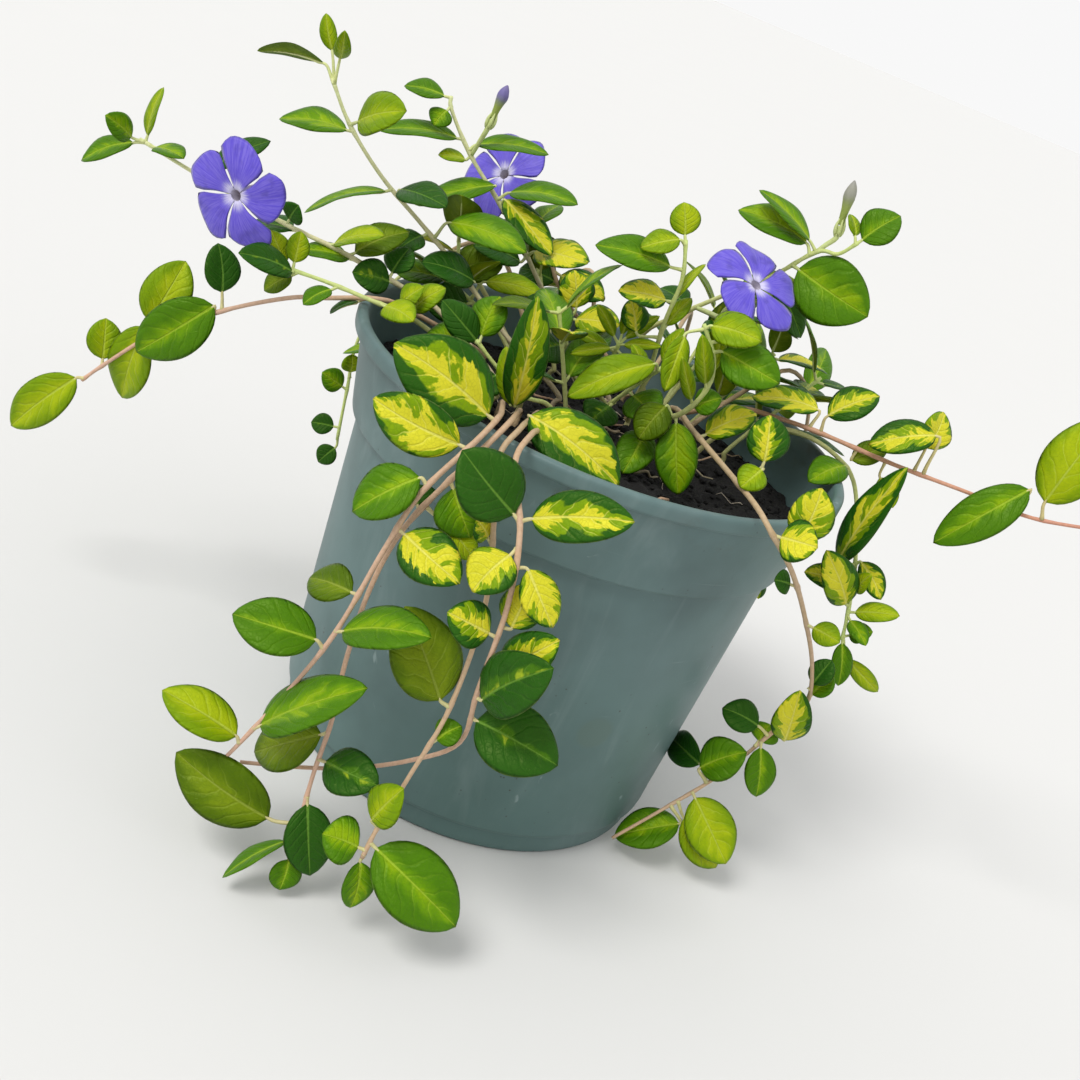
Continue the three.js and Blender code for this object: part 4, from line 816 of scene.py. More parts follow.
# The finishes of undersides that follow those of upper sides: (name, look, how pale)
UNDERSIDES = [("young", "young", 0.2), ("green", "olive", 0.2), ("variegated", "variegated", 0.35)]
UNDERSIDE_OF = {"young": 0, "olive": 0, "green": 1, "dark": 1, "variegated": 2}
UNDERSIDE_ROUGHNESS = 0.6
PETIOLE_TINT = (0.60, 0.66, 0.26)
STALK_TINT = (0.52, 0.60, 0.24)
RULE_KINDS = ["green", "dark", "green", "variegated", "olive"]
# A stem's own thickness beside that of its simple form
STEM_FINENESS = 0.8
STEM_SIDES = 12
# How much a stem swells where a leaf springs from it, and for how far
SWELLING = 0.3
SWELLING_REACH = 1.3
# Points of a stem's fine curve for each step of its simple one
FINE_STEPS = 6
PETIOLE_RADII = [0.75, 0.6, 0.52, 0.5, 0.48, 0.46, 0.44, 0.4, 0.34, 0.27, 0.2, 0.12]
SEPAL_RADII = [0.3, 0.55, 0.56, 0.46, 0.28, 0.07]


def add_blade(skin, pose, kind, seed, thickness):
    """One leaf blade: a thin sheet with a sunken midrib, arched halves and a pointed tip."""
    long = pose.length > LONG_BLADE
    rows = 19 if long else 13
    half_columns = 6 if long else 5
    stations = np.linspace(0, 1, rows)
    stations = 0.75 * stations + 0.25 * (0.5 - 0.5 * np.cos(np.pi * stations))
    across = np.linspace(0, 1, half_columns + 1) ** 0.85
    across = np.concatenate([-across[:0:-1], across])
    columns = len(across)
    s, v = np.meshgrid(stations, across, indexing="ij")
    half = np.maximum(pose.width / 2 * blade_shape(s), 0.42 * (1 - s))
    side_bend = 0.03 * pose.length * scatter(seed + 0.11) * np.sin(np.pi * s)
    out = np.abs(v)
    wave = 0.05 * half * np.sin(2 * np.pi * (1.3 * s + scatter(seed + 0.23))) * out**2 * np.sign(v)
    tip_curl = -0.14 * pose.length * s**5 * (0.4 + 0.6 * abs(scatter(seed + 0.31))) * (1 - s)
    folded = BLADE_FOLD * out**1.5 + 0.07 * np.sin(np.pi * out) - 0.05 * out**6
    height = BLADE_ARCH * pose.length * 4 * s * (1 - s) + tip_curl + half * folded + wave
    middle = (
        pose.base
        + s[..., None] * (pose.tip - pose.base)
        + (v * half + side_bend)[..., None] * pose.side
        + height[..., None] * pose.normal
    )
    body = (thickness / 2 * (1 - out**4))[..., None] * pose.normal
    top = middle + body
    under = middle - body
    points = []
    leaf = []
    place = []
    upper = np.zeros((rows, columns), int)
    lower = np.zeros((rows, columns), int)
    shift = 40 * scatter(seed + 0.47)

    def put(point, i, j):
        points.append(point)
        leaf.append((s[i, j], v[i, j], 0.5 + 0.5 * scatter(seed)))
        place.append((s[i, j] * pose.length / 10, v[i, j] * half[i, j] / 10, shift))
        return len(points) - 1

    for i in range(rows - 1):
        for j in range(columns):
            upper[i, j] = put(top[i, j], i, j)
            edge = j in (0, columns - 1)
            lower[i, j] = upper[i, j] if edge else put(under[i, j], i, j)
    tip = put(middle[-1, columns // 2], rows - 1, columns // 2)
    faces, sides = sheet_faces(rows - 1, columns, upper, lower)
    last = rows - 2
    for j in range(columns - 1):
        faces.append((upper[last, j], upper[last, j + 1], tip))
        faces.append((lower[last, j], tip, lower[last, j + 1]))
        sides += [0, 1]
    both = (1 + LEAF_KINDS.index(kind), 1 + len(LEAF_KINDS) + UNDERSIDE_OF[kind])
    slots = [both[side] for side in sides]
    skin.add(points, faces, slots, leaf=leaf, place=place)


def add_petiole(skin, pose, tint, thickness):
    """The leaf's stalk, which runs on as a raised rib under the blade."""
    reach = np.linalg.norm(pose.base - pose.root)
    away = pose.root + unit(pose.base - pose.root) * reach * 0.45
    before = pose.base - pose.along * reach * 0.3
    stalk = []
    for t in np.linspace(0, 1, 7):
        u = 1 - t
        stalk.append(u**3 * pose.root + 3 * u**2 * t * away + 3 * u * t**2 * before + t**3 * pose.base)
    for share in (0.06, 0.2, 0.38, 0.58, 0.76):
        stalk.append(pose.on_midrib(share, -thickness / 2 - 0.16 * (1 - share)))
    girth = 0.8 + pose.width / 60
    points, faces = tube_skin(stalk, [radius * girth for radius in PETIOLE_RADII], 8)
    skin.add(points, faces, 0, tint=tint)


def add_stem(skin, plan, roots, barks):
    """A stem with a swollen joint where each leaf springs, tinted from its foot to its tip."""
    curve = np.array(curve_through(plan.marks, [count * FINE_STEPS for count in plan.steps]))
    swelling = np.zeros(len(curve))
    for root in roots:
        gaps = np.linalg.norm(curve - root, axis=1)
        swelling = np.maximum(swelling, SWELLING * np.exp(-((gaps / SWELLING_REACH) ** 2)))
    radii = np.linspace(STEM_FOOT_RADIUS, STEM_TIP_RADIUS, len(curve)) * STEM_FINENESS
    points, faces = tube_skin(curve, radii * (1 + swelling), STEM_SIDES)
    shares = np.concatenate([np.repeat(np.linspace(0, 1, len(curve)), STEM_SIDES), [0, 1]])[:, None]
    low, high = (np.array(colour) for colour in barks)
    skin.add(points, faces, 0, tint=low + (high - low) * shares)


def add_stalk(skin, foot, seat, axis, radii):
    """A flower's or bud's stalk, from the stem to just inside its calyx of five narrow sepals."""
    bend = seat - axis * CALYX_LENGTH
    curve = curve_through([foot, foot + (bend - foot) * 0.5, bend, seat], [4, 4, 3])
    points, faces = tube_skin(curve, np.linspace(*radii, len(curve)), 10)
    skin.add(points, faces, 0, tint=STALK_TINT)
    first = square_to(axis, np.array([0.3, 0.8, 0.2]))
    for i in range(PETALS):
        out = turned_about(first, axis, 2 * math.pi * i / PETALS)
        sepal = []
        for t in np.linspace(0, 1, len(SEPAL_RADII)):
            swell = 0.85 + 0.4 * math.sin(math.pi * min(1, t * 1.1))
            sepal.append(seat + axis * (-3.0 + 5.4 * t) + out * swell)
        points, faces = tube_skin(sepal, SEPAL_RADII, 6)
        skin.add(points, faces, 0, tint=STALK_TINT)


class StemPlan:
    """A leafy stem as packed: its node's name, its curve, its leaves, its flower and its bud."""

    def __init__(self, name, foot, route, leaves, pose_for, flower=None, bud=None):
        self.name = name
        self.marks = stem_marks(foot, route)
        self.steps = span_steps(self.marks)
        self.spine = curve_through(self.marks, self.steps)
        self.leaves = leaves
        self.pose_for = pose_for
        self.flower = flower
        self.bud = bud

    def flower_place(self):
        """The foot and end of the flower's stalk, its middle, its axis and one petal's direction."""
        foot, end, face, petal = self.flower
        seat = seen_at(*end)
        centre = seen_at(*face)
        axis = unit(centre - seat)
        first = square_to(axis, seen_at(*petal) - centre)
        return nearest_on_stem(self.spine, *foot), seat, centre, axis, first

    def bud_place(self):
        """The foot and end of the bud's stalk, and its tip."""
        foot, end, tip = self.bud
        return nearest_on_stem(self.spine, *foot), seen_at(*end), seen_at(*tip)


def stem_plans():
    """The plans of all stems: those drawn in the picture, the crown's shoots and the back's trails."""
    plans = []
    for name, stem in STEMS.items():
        route = [seen_at(*point) for point in stem["route"]]
        leaves = [(leaf, KIND_OF_LETTER[leaf[-1]]) for leaf in stem["leaves"]]
        ends = stem.get("flower"), stem.get("bud")
        plans.append(StemPlan(name, stem["foot"], route, leaves, drawn_pose, *ends))
    for i, shoot in enumerate(CROWN_SHOOTS):
        drawn = pair_leaves(shoot[5], CROWN_LEAVES_FROM, i + 1)
        leaves = [(leaf, RULE_KINDS[(i + j) % 5]) for j, leaf in enumerate(drawn)]
        route = crown_route(shoot)
        plans.append(StemPlan(f"shoot_crown_{i + 1}", shoot[:2], route, leaves, rule_pose))
    for i, (degrees, length) in enumerate(BACK_TRAILS):
        angle = math.radians(degrees)
        foot = (TRAIL_FOOT_RADIUS * math.cos(angle), TRAIL_FOOT_RADIUS * math.sin(angle))
        pairs = math.floor((length + 40) / TRAIL_LEAF_STEP + 0.5)
        drawn = pair_leaves(pairs, TRAIL_LEAVES_FROM, i + 20)
        leaves = [(leaf, RULE_KINDS[(i + j // 2) % 5]) for j, leaf in enumerate(drawn)]
        route = trail_route(degrees, length)
        plans.append(StemPlan(f"trail_back_{i + 1}", foot, route, leaves, rule_pose))
    return plans


def bark_of(name):
    """The colours of a stem's bark: as listed, or else fresh on a shoot and tan on the others."""
    listed = [bark for bark, names in STEM_BARKS.items() if name in names]
    return BARKS[listed[0] if listed else "fresh" if name.startswith("shoot") else "tan"]


def grow(plan, order, finishes, thickness):
    """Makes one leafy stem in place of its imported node."""
    surface = node_surface(plan.name)
    skin = Skin()
    barks = bark_of(plan.name)
    roots = []
    for number, (leaf, kind) in enumerate(plan.leaves):
        pose = packed_pose(surface, plan, leaf)
        if pose is None:
            continue
        roots.append(pose.root)
        seed = order * 31 + number
        add_blade(skin, pose, kind, seed, thickness)
        fresh = np.array(PETIOLE_TINT) * (0.9 + 0.1 * scatter(seed + 0.7))
        add_petiole(skin, pose, 0.35 * np.array(barks[1]) + 0.65 * fresh, thickness)
    add_stem(skin, plan, roots, barks)
    if plan.flower:
        foot, seat, _, axis, _ = plan.flower_place()
        add_stalk(skin, foot, seat, axis, (0.7, 0.95))
    if plan.bud:
        foot, seat, tip = plan.bud_place()
        add_stalk(skin, foot, seat, unit(tip - seat), (0.65, 0.9))
    made = skin.made(plan.name + "_growth", finishes)
    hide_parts(plan.name)
    return len(roots)


# Flowers and buds

# Stations of a petal: how far out, and its left and right edges in degrees about its middle
PETAL_STATIONS = [(1.6, -34, 34), (5.5, -31, 34), (10, -31, 39), (14, -25, 39), (16, -17, 35)]
# How far out a petal reaches, at shares of the way across it
PETAL_REACH = [(0, 11.8), (0.1, 13.4), (0.4, 14.8), (0.78, 16.0), (0.93, 15.0), (1, 12.8)]
# A flower's tube up its outside and down its hollow: how far along, and the radius
TUBE_OUTSIDE = [(0, 0.95), (0.2, 1.15), (0.45, 1.35), (0.7, 1.75), (0.88, 2.2), (1, 2.55)]
TUBE_INSIDE = [(1.03, 2.5), (1.0, 2.15), (0.85, 1.7), (0.6, 1.2), (0.45, 0.5)]
HOLLOW_END = 0.42
# A bud: how far along, and the share of its radius
BUD_PROFILE = [
    (0, 0.5), (0.12, 0.52), (0.3, 0.6), (0.45, 0.76), (0.6, 0.96), (0.7, 0.95), (0.8, 0.8),
    (0.88, 0.58), (0.94, 0.34), (0.98, 0.14),
]
# How violet the buds are
BUD_FLUSHES = [1.0, 0.25]


def add_petal(skin, centre, axis, out, side, seed):
    """One petal of the pinwheel: a wavy sheet, cut off aslant at its outer edge."""
    rows = 15
    columns = 13
    shares = np.linspace(0, 1, columns)
    reach = np.interp(shares, *zip(*PETAL_REACH))
    reach = np.convolve(np.pad(reach, 1, "edge"), [0.25, 0.5, 0.25], "valid")
    radii, left, right = (np.array(values, float) for values in zip(*PETAL_STATIONS))
    top = np.zeros((rows, columns, 3))
    under = np.zeros((rows, columns, 3))
    marks = np.zeros((rows, columns, 3))
    for j, share in enumerate(shares):
        spread = 2 * share - 1
        for i in range(rows):
            radius = PETAL_FOOT + (reach[j] - PETAL_FOOT) * i / (rows - 1)
            far = radius / PETAL_LENGTH
            low = np.interp(radius, radii, left)
            high = np.interp(radius, radii, right)
            angle = math.radians(low + (high - low) * share)
            lift = 1.6 * math.sin(far * math.pi) - 0.06 * radius
            lift += 0.35 * far**2 * math.sin(spread * 4.4 + 3 * scatter(seed))
            lift += 0.5 * spread**2 * far - 0.25 * math.exp(-((spread * 5) ** 2)) * far
            outward = out * math.cos(angle) + side * math.sin(angle)
            point = centre + axis * lift + outward * radius
            thick = 0.17 * (1 - abs(spread) ** 4) * (1 - (i / (rows - 1)) ** 6)
            top[i, j] = point + axis * thick
            under[i, j] = point - axis * thick
            marks[i, j] = (far, spread, 0.5 + 0.5 * scatter(seed))
    points = []
    leaf = []
    upper = np.zeros((rows, columns), int)
    lower = np.zeros((rows, columns), int)
    for i in range(rows):
        for j in range(columns):
            points.append(top[i, j])
            leaf.append(marks[i, j])
            upper[i, j] = lower[i, j] = len(points) - 1
            if 0 < j < columns - 1 and i < rows - 1:
                points.append(under[i, j])
                leaf.append(marks[i, j])
                lower[i, j] = len(points) - 1
    faces, _ = sheet_faces(rows, columns, upper, lower)
    skin.add(points, faces, 0, leaf=leaf)


def circle_about(axis, angles):
    """A circle's points about the origin and square to an axis."""
    first = square_to(axis, np.array([0.2, 0.1, 1]))
    return ring_about(first, np.cross(axis, first), angles)


def add_throat(skin, seat, centre, axis):
    """The flower's tube: a slim foot that widens to an open throat, with a hollow inside."""
    start = seat + axis * SEAT_DEPTH
    length = np.linalg.norm(centre - start)
    angles = ring_angles(TUBE_SIDES)
    circle = circle_about(axis, angles)
    ribs = (1 + 0.035 * np.cos(PETALS * angles))[:, None]
    rings = []
    marks = []
    for side, profile in enumerate((TUBE_OUTSIDE, TUBE_INSIDE)):
        for depth, radius in profile:
            rings.append(start + axis * length * depth + radius * ribs * circle)
            marks += [(depth, side, 0.5)] * TUBE_SIDES
    ends = [start, start + axis * length * HOLLOW_END]
    marks += [(0, 0, 0.5), (HOLLOW_END, 1, 0.5)]
    skin.add(np.concatenate([*rings, ends]), ring_faces(len(rings), TUBE_SIDES), 1, leaf=marks)


def add_bud(skin, seat, tip, flush):
    """A closed bud: petals rolled round each other in a spindle."""
    axis = unit(tip - seat)
    start = seat + axis * SEAT_DEPTH
    length = np.linalg.norm(tip - start)
    angles = ring_angles(BUD_SIDES)
    circle = circle_about(axis, angles)
    rings = []
    marks = []
    for share in np.linspace(0, 0.985, BUD_RINGS):
        size = BUD_RADIUS * np.interp(share, *zip(*BUD_PROFILE))
        fold = (PETALS * angles / (2 * np.pi) + 2.2 * share) % 1
        radii = size * (1 - 0.16 * smooth(share, 0.25, 0.5) * (1 - fold) ** 3)
        rings.append(start + axis * length * share + radii[:, None] * circle)
        marks += [(share, part, flush) for part in fold]
    ends = [start, start + axis * length * 0.995]
    marks += [(0, 0.5, flush), (1, 0.5, flush)]
    skin.add(np.concatenate([*rings, ends]), ring_faces(BUD_RINGS, BUD_SIDES), 0, leaf=marks)


# Pot and soil


def inner_radius(height):
    step = POT_HEIGHT - COLLAR_HEIGHT
    if height <= step:
        return BODY_FOOT_RADIUS - WALL + (BODY_TOP_RADIUS - BODY_FOOT_RADIUS) * height / step
    share = (height - step) / (COLLAR_HEIGHT - LIP_HEIGHT)
    return COLLAR_FOOT_RADIUS - WALL + (COLLAR_TOP_RADIUS - COLLAR_FOOT_RADIUS) * share


def pot_profile():
    """The pot's section from the middle of its base, up its outside and down its inside.

    Each point is (radius, height, how much of a worn edge it is, which also carries a painted
    highlight).
    """
    foot = BODY_FOOT_RADIUS
    line = FOOT_LINE_HEIGHT
    step = POT_HEIGHT - COLLAR_HEIGHT
    lip_foot = POT_HEIGHT - LIP_HEIGHT
    mouth = LIP_RADIUS - LIP_WIDTH
    outside = [
        (0, 0, 0), (20, 0, 0), (40, 0, 0), (BASE_RADIUS - 2.2, 0, 0.2), (BASE_RADIUS - 1, 0.05, 0.8),
        (BASE_RADIUS - 0.3, 0.4, 1), (BASE_RADIUS, 1.1, 0.6), (BASE_RADIUS + 0.3, 3, 0),
        (BASE_RADIUS + 0.75, line - 1.2, 0), (BASE_RADIUS + 0.9, line - 0.5, 0),
        (foot - 0.1, line - 0.15, 0.3), (foot + 0.3, line + 0.2, 1), (foot + 0.45, line + 1.2, 0.2),
    ]
    for share in np.linspace(0.08, 0.97, 14):
        radius = foot + 0.3 + (BODY_TOP_RADIUS - foot - 0.3) * share
        outside.append((radius, line + (step - 1 - line) * share, 0))
    outside += [
        (BODY_TOP_RADIUS - 0.05, step - 1.8, 0), (BODY_TOP_RADIUS + 0.15, step - 1.15, 0),
        (COLLAR_FOOT_RADIUS - 0.6, step - 0.35, 0.3), (COLLAR_FOOT_RADIUS - 0.12, step - 0.05, 1),
        (COLLAR_FOOT_RADIUS + 0.05, step + 0.5, 0.8), (COLLAR_FOOT_RADIUS + 0.2, step + 1.6, 0.1),
    ]
    for share in np.linspace(0.12, 0.95, 7):
        radius = COLLAR_FOOT_RADIUS + (COLLAR_TOP_RADIUS - COLLAR_FOOT_RADIUS) * share
        outside.append((radius, step + (COLLAR_HEIGHT - LIP_HEIGHT) * share, 0))
    outside += [
        (COLLAR_TOP_RADIUS, lip_foot - 0.3, 0), (COLLAR_TOP_RADIUS + 0.5, lip_foot, 0.2),
        (LIP_RADIUS - 0.6, lip_foot + 0.15, 0.7), (LIP_RADIUS - 0.22, lip_foot + 0.5, 1),
        (LIP_RADIUS - 0.12, lip_foot + 1.2, 0.3), (LIP_RADIUS - 0.05, POT_HEIGHT - 1.7, 0.2),
        (LIP_RADIUS - 0.1, POT_HEIGHT - 0.9, 0.7), (LIP_RADIUS - 0.5, POT_HEIGHT - 0.3, 1),
        (LIP_RADIUS - 1.1, POT_HEIGHT - 0.05, 0.9), (LIP_RADIUS - 2.3, POT_HEIGHT - 0.1, 0.7),
        (mouth + 0.25, POT_HEIGHT - 0.4, 1), (mouth - 0.2, POT_HEIGHT - 0.9, 0.5),
    ]
    inside = [(inner_radius(lip_foot), lip_foot - 1, 0)]
    for share in np.linspace(0.85, 0.1, 6):
        height = step + 1 + (lip_foot - step - 2) * share
        inside.append((inner_radius(height), height, 0))
    inside += [(inner_radius(height), height, 0) for height in (step + 1, step - 1, 50)]
    inside += [(inner_radius(WALL) - 0.6, WALL, 0), (30, WALL, 0), (0, WALL, 0)]
    return outside + inside


def level_ring(radius, height, sides):
    """Points round the pot's axis at one height."""
    angles = ring_angles(sides)
    return np.stack([radius * np.cos(angles), radius * np.sin(angles), np.full(sides, height)], 1)


def add_pot(skin):
    """The pot's closed skin, turned about its axis, with its worn edges and their painted highlights
    marked.
    """
    (_, base, _), *profile, (_, floor, _) = pot_profile()
    rings = [level_ring(radius, height, POT_SIDES) for radius, height, _ in profile]
    marks = [(edge_wear_and_highlight, 0, 0) for _, _, edge_wear_and_highlight in profile for _ in range(POT_SIDES)]
    ends = [UP * base, UP * floor]
    marks += [(0, 0, 0)] * 2
    skin.add(np.concatenate([*rings, ends]), ring_faces(len(rings), POT_SIDES), 0, leaf=marks)


def drain_cutter():
    """Pegs that cut the drain holes through the pot's floor."""
    pegs = bmesh.new()
    for i in range(DRAIN_HOLES):
        angle = 2 * math.pi * (i + 0.5) / DRAIN_HOLES
        middle = (DRAIN_CIRCLE * MM * math.cos(angle), DRAIN_CIRCLE * MM * math.sin(angle), 0)
        bmesh.ops.create_cone(
            pegs, cap_ends=True, segments=DRAIN_SIDES, radius1=DRAIN_RADIUS * MM,
            radius2=DRAIN_RADIUS * MM, depth=5 * WALL * MM, matrix=Matrix.Translation(middle),
        )
    return placed("drain_cutter", mesh_of("drain_cutter", pegs))


def cut_by(made, cutter):
    """Cuts one object by another, applies the cut and removes the cutter."""
    cut = made.modifiers.new("cut", "BOOLEAN")
    cut.operation = "DIFFERENCE"
    cut.solver = "EXACT"
    cut.object = cutter
    scene_graph = bpy.context.evaluated_depsgraph_get()
    fresh = bpy.data.meshes.new_from_object(made.evaluated_get(scene_graph))
    made.modifiers.remove(cut)
    made.data = fresh
    bpy.data.objects.remove(cutter)


def soil_height(x, y):
    mound = 2.5 * math.cos(math.hypot(x, y) / 72 * 1.4)
    clods = 0.7 * math.sin(x * 0.31 + 1) * math.cos(y * 0.27)
    return SOIL_TOP - 1 + mound + clods + 0.5 * math.sin(x * 0.9 + y * 0.7)


def crumbly_height(x, y, crumb):
    """The soil's height with crumbs and small pits in it."""
    place = Vector((x, y, 0))
    lumps = noise.fractal(place * 0.16 / crumb, 0.9, 2.1, 5)
    grains = noise.turbulence(place * 0.55 / crumb, 3, False)
    return soil_height(x, y) - 0.4 + 1.1 * lumps + 0.8 * grains * crumb


def add_soil(skin, crumb):
    """The bed of soil: a crumbly top, and the sides and floor hidden in the pot."""
    edge = inner_radius(SOIL_TOP - 3) - SOIL_GAP
    radii = [*np.linspace(1.6, edge - 1, 46), edge - 0.3, edge]
    rings = []
    for radius in radii:
        turn = 0.5 * (int(radius * 3) % 2)
        ring = []
        for k in range(SOIL_SIDES):
            angle = 2 * math.pi * (k + turn) / SOIL_SIDES
            x = radius * math.cos(angle)
            y = radius * math.sin(angle)
            ring.append((x, y, crumbly_height(x, y, crumb)))
        rings.append(ring)
    step = POT_HEIGHT - COLLAR_HEIGHT
    for height in (step + 1, step - 1):
        rings.append(level_ring(inner_radius(height) - SOIL_GAP, height, SOIL_SIDES))
    rings.append(level_ring(inner_radius(WALL) - 1, WALL + SOIL_GAP, SOIL_SIDES))
    ends = [UP * crumbly_height(0, 0, crumb), UP * (WALL + SOIL_GAP)]
    faces = [(face[0], *face[:0:-1]) for face in ring_faces(len(rings), SOIL_SIDES)]
    skin.add(np.concatenate([*rings, ends]), faces, 0)


def add_crumbs(skin, count, crumb, draw):
    """Loose crumbs of soil, each a small rough lump half sunk in the bed."""
    lump = bmesh.new()
    bmesh.ops.create_icosphere(lump, subdivisions=1, radius=1)
    shape = np.array([vertex.co for vertex in lump.verts])
    faces = [tuple(vertex.index for vertex in face.verts) for face in lump.faces]
    lump.free()
    edge = inner_radius(SOIL_TOP) - 3
    for _ in range(count):
        radius = edge * math.sqrt(draw.random())
        angle = draw.uniform(0, 2 * math.pi)
        x = radius * math.cos(angle)
        y = radius * math.sin(angle)
        size = crumb * draw.choice((0.45, 0.6, 0.8, 1.1, 1.6))
        rough = 1 + 0.28 * np.array([[draw.uniform(-1, 1)] for _ in shape])
        stretch = np.array([draw.uniform(0.8, 1.4), draw.uniform(0.8, 1.3), draw.uniform(0.6, 0.9)])
        place = np.array([x, y, crumbly_height(x, y, crumb) + size * 0.25])
        skin.add(shape * rough * stretch * size + place, faces, 0)


def add_litter(skin, draw):
    """Fine root hairs and dry bits of stem that lie on the soil."""
    for number in range(LITTER):
        hair = number < ROOT_HAIRS
        angle = draw.uniform(0, 2 * math.pi)
        radius = draw.uniform(10, 62)
        x = radius * math.cos(angle)
        y = radius * math.sin(angle)
        way = draw.uniform(0, 2 * math.pi)
        length = draw.uniform(7, 16) if hair else draw.uniform(8, 24)
        curve = []
        bend = draw.uniform(-0.16, 0.16)
        for i in range(9):
            way += bend + draw.uniform(-0.25, 0.25) * (1 if hair else 0.3)
            x += math.cos(way) * length / 8
            y += math.sin(way) * length / 8
            if math.hypot(x, y) > LITTER_EDGE:
                break
            rise = 0.5 if hair else 1.0 + 1.2 * math.sin(math.pi * i / 8)
            curve.append((x, y, crumbly_height(x, y, 1) + rise))
        if len(curve) < 4:
            continue
        thick = 0.16 if hair else draw.uniform(0.3, 0.6)
        points, faces = tube_skin(curve, np.linspace(thick, thick * 0.5, len(curve)), 6)
        tint = (0.66, 0.58, 0.46) if hair else (0.42 * draw.uniform(0.7, 1.2), 0.31, 0.2)
        skin.add(points, faces, 1, tint=tint)


# Finishes


class Value:
    """A number of a finish that varies over the surface. Arithmetic on it adds Math nodes."""

    def __init__(self, finish, socket):
        self.finish = finish
        self.socket = socket

    def __add__(self, other):
        return self.finish.maths("ADD", self, other)

    def __radd__(self, other):
        return self.finish.maths("ADD", other, self)

    def __sub__(self, other):
        return self.finish.maths("SUBTRACT", self, other)

    def __rsub__(self, other):
        return self.finish.maths("SUBTRACT", other, self)

    def __mul__(self, other):
        return self.finish.maths("MULTIPLY", self, other)

    def __rmul__(self, other):
        return self.finish.maths("MULTIPLY", other, self)

    def __mod__(self, other):
        return self.finish.maths("FLOORED_MODULO", self, other)

    def __abs__(self):
        return self.finish.maths("ABSOLUTE", self)

    def __gt__(self, other):
        return self.finish.maths("GREATER_THAN", self, other)


class Finish:
    """A material that is built from nodes."""

    def __init__(self, name):
        self.material = bpy.data.materials.new(name)
        self.material.use_nodes = True
        self.tree = self.material.node_tree
        self.tree.nodes.clear()

    def node(self, kind, settings=None, inputs=None):
        """A node of a kind, with its settings made first and then its sockets filled or linked."""
        made = self.tree.nodes.new(kind)
        for name, value in (settings or {}).items():
            setattr(made, name, value)
        for name, value in (inputs or {}).items():
            socket = made.inputs[name]
            value = value.socket if isinstance(value, Value) else value
            if isinstance(value, bpy.types.NodeSocket):
                self.tree.links.new(value, socket)
            else:
                socket.default_value = value
        return made

    def maths(self, operation, *values):
        inputs = dict(enumerate(values))
        return Value(self, self.node("ShaderNodeMath", {"operation": operation}, inputs).outputs[0])

    def mark(self, name):
        """A mark of the mesh as a vector socket."""
        return self.node("ShaderNodeAttribute", {"attribute_name": name}).outputs["Vector"]

    def object_place(self):
        """The place on the object in metres, as a vector socket."""
        return self.node("ShaderNodeTexCoord").outputs["Object"]

    def parts(self, vector):
        made = self.node("ShaderNodeSeparateXYZ", inputs={"Vector": vector})
        return [Value(self, socket) for socket in made.outputs]

    def joined(self, x, y, z):
        return self.node("ShaderNodeCombineXYZ", inputs={"X": x, "Y": y, "Z": z}).outputs[0]

    def scaled(self, vector, by):
        settings = {"operation": "MULTIPLY"}
        return self.node("ShaderNodeVectorMath", settings, {0: vector, 1: by}).outputs[0]

    def noise(self, place, scale, detail=3.0, roughness=0.5, distortion=0.0):
        inputs = {"Vector": place, "Scale": scale, "Detail": detail}
        inputs |= {"Roughness": roughness, "Distortion": distortion}
        return Value(self, self.node("ShaderNodeTexNoise", inputs=inputs).outputs[0])

    def cells(self, place, scale, feature="F1"):
        """The distance to cells' middles or, with another feature, to their edges."""
        inputs = {"Vector": place, "Scale": scale}
        made = self.node("ShaderNodeTexVoronoi", {"feature": feature}, inputs)
        return Value(self, made.outputs["Distance"])

    def step(self, value, low, high):
        """A smooth step of a value from 0 at low to 1 at high."""
        settings = {"interpolation_type": "SMOOTHSTEP"}
        inputs = {0: value, 1: low, 2: high}
        return Value(self, self.node("ShaderNodeMapRange", settings, inputs).outputs[0])

    def mix(self, factor, first, second, how="MIX"):
        settings = {"data_type": "RGBA", "blend_type": how}
        inputs = {0: factor, 6: first, 7: second}
        return self.node("ShaderNodeMix", settings, inputs).outputs[2]

    def bump(self, height, strength, distance):
        inputs = {"Height": height, "Strength": strength, "Distance": distance}
        return self.node("ShaderNodeBump", inputs=inputs).outputs[0]

    def surface(self, colour, roughness, normal=None, **constants):
        """Ends the finish in a principled shader. Constants go straight on its sockets."""
        inputs = {"Base Color": colour, "Roughness": roughness}
        inputs |= {name.replace("_", " "): value for name, value in constants.items()}
        if normal is not None:
            inputs["Normal"] = normal
        shader = self.node("ShaderNodeBsdfPrincipled", inputs=inputs)
        self.node("ShaderNodeOutputMaterial", inputs={"Surface": shader.outputs[0]})
        return self.material


def linear(colour):
    """A screen colour as linear light, with an alpha of 1."""
    parts = [part / 12.92 if part <= 0.04045 else ((part + 0.055) / 1.055) ** 2.4 for part in colour]
    return (*parts, 1.0)


def darker(colour, share):
    """A screen colour times a share, which may be over 1, as linear light."""
    return linear(tuple(part * share for part in colour))


def lighter(colour, share):
    """A screen colour brought nearer to white by a share, as linear light."""
    return linear(tuple(part + (1 - part) * share for part in colour))


def paint(red, green, blue):
    """A screen colour given in 255ths, as linear light."""
    return linear((red / 255, green / 255, blue / 255))


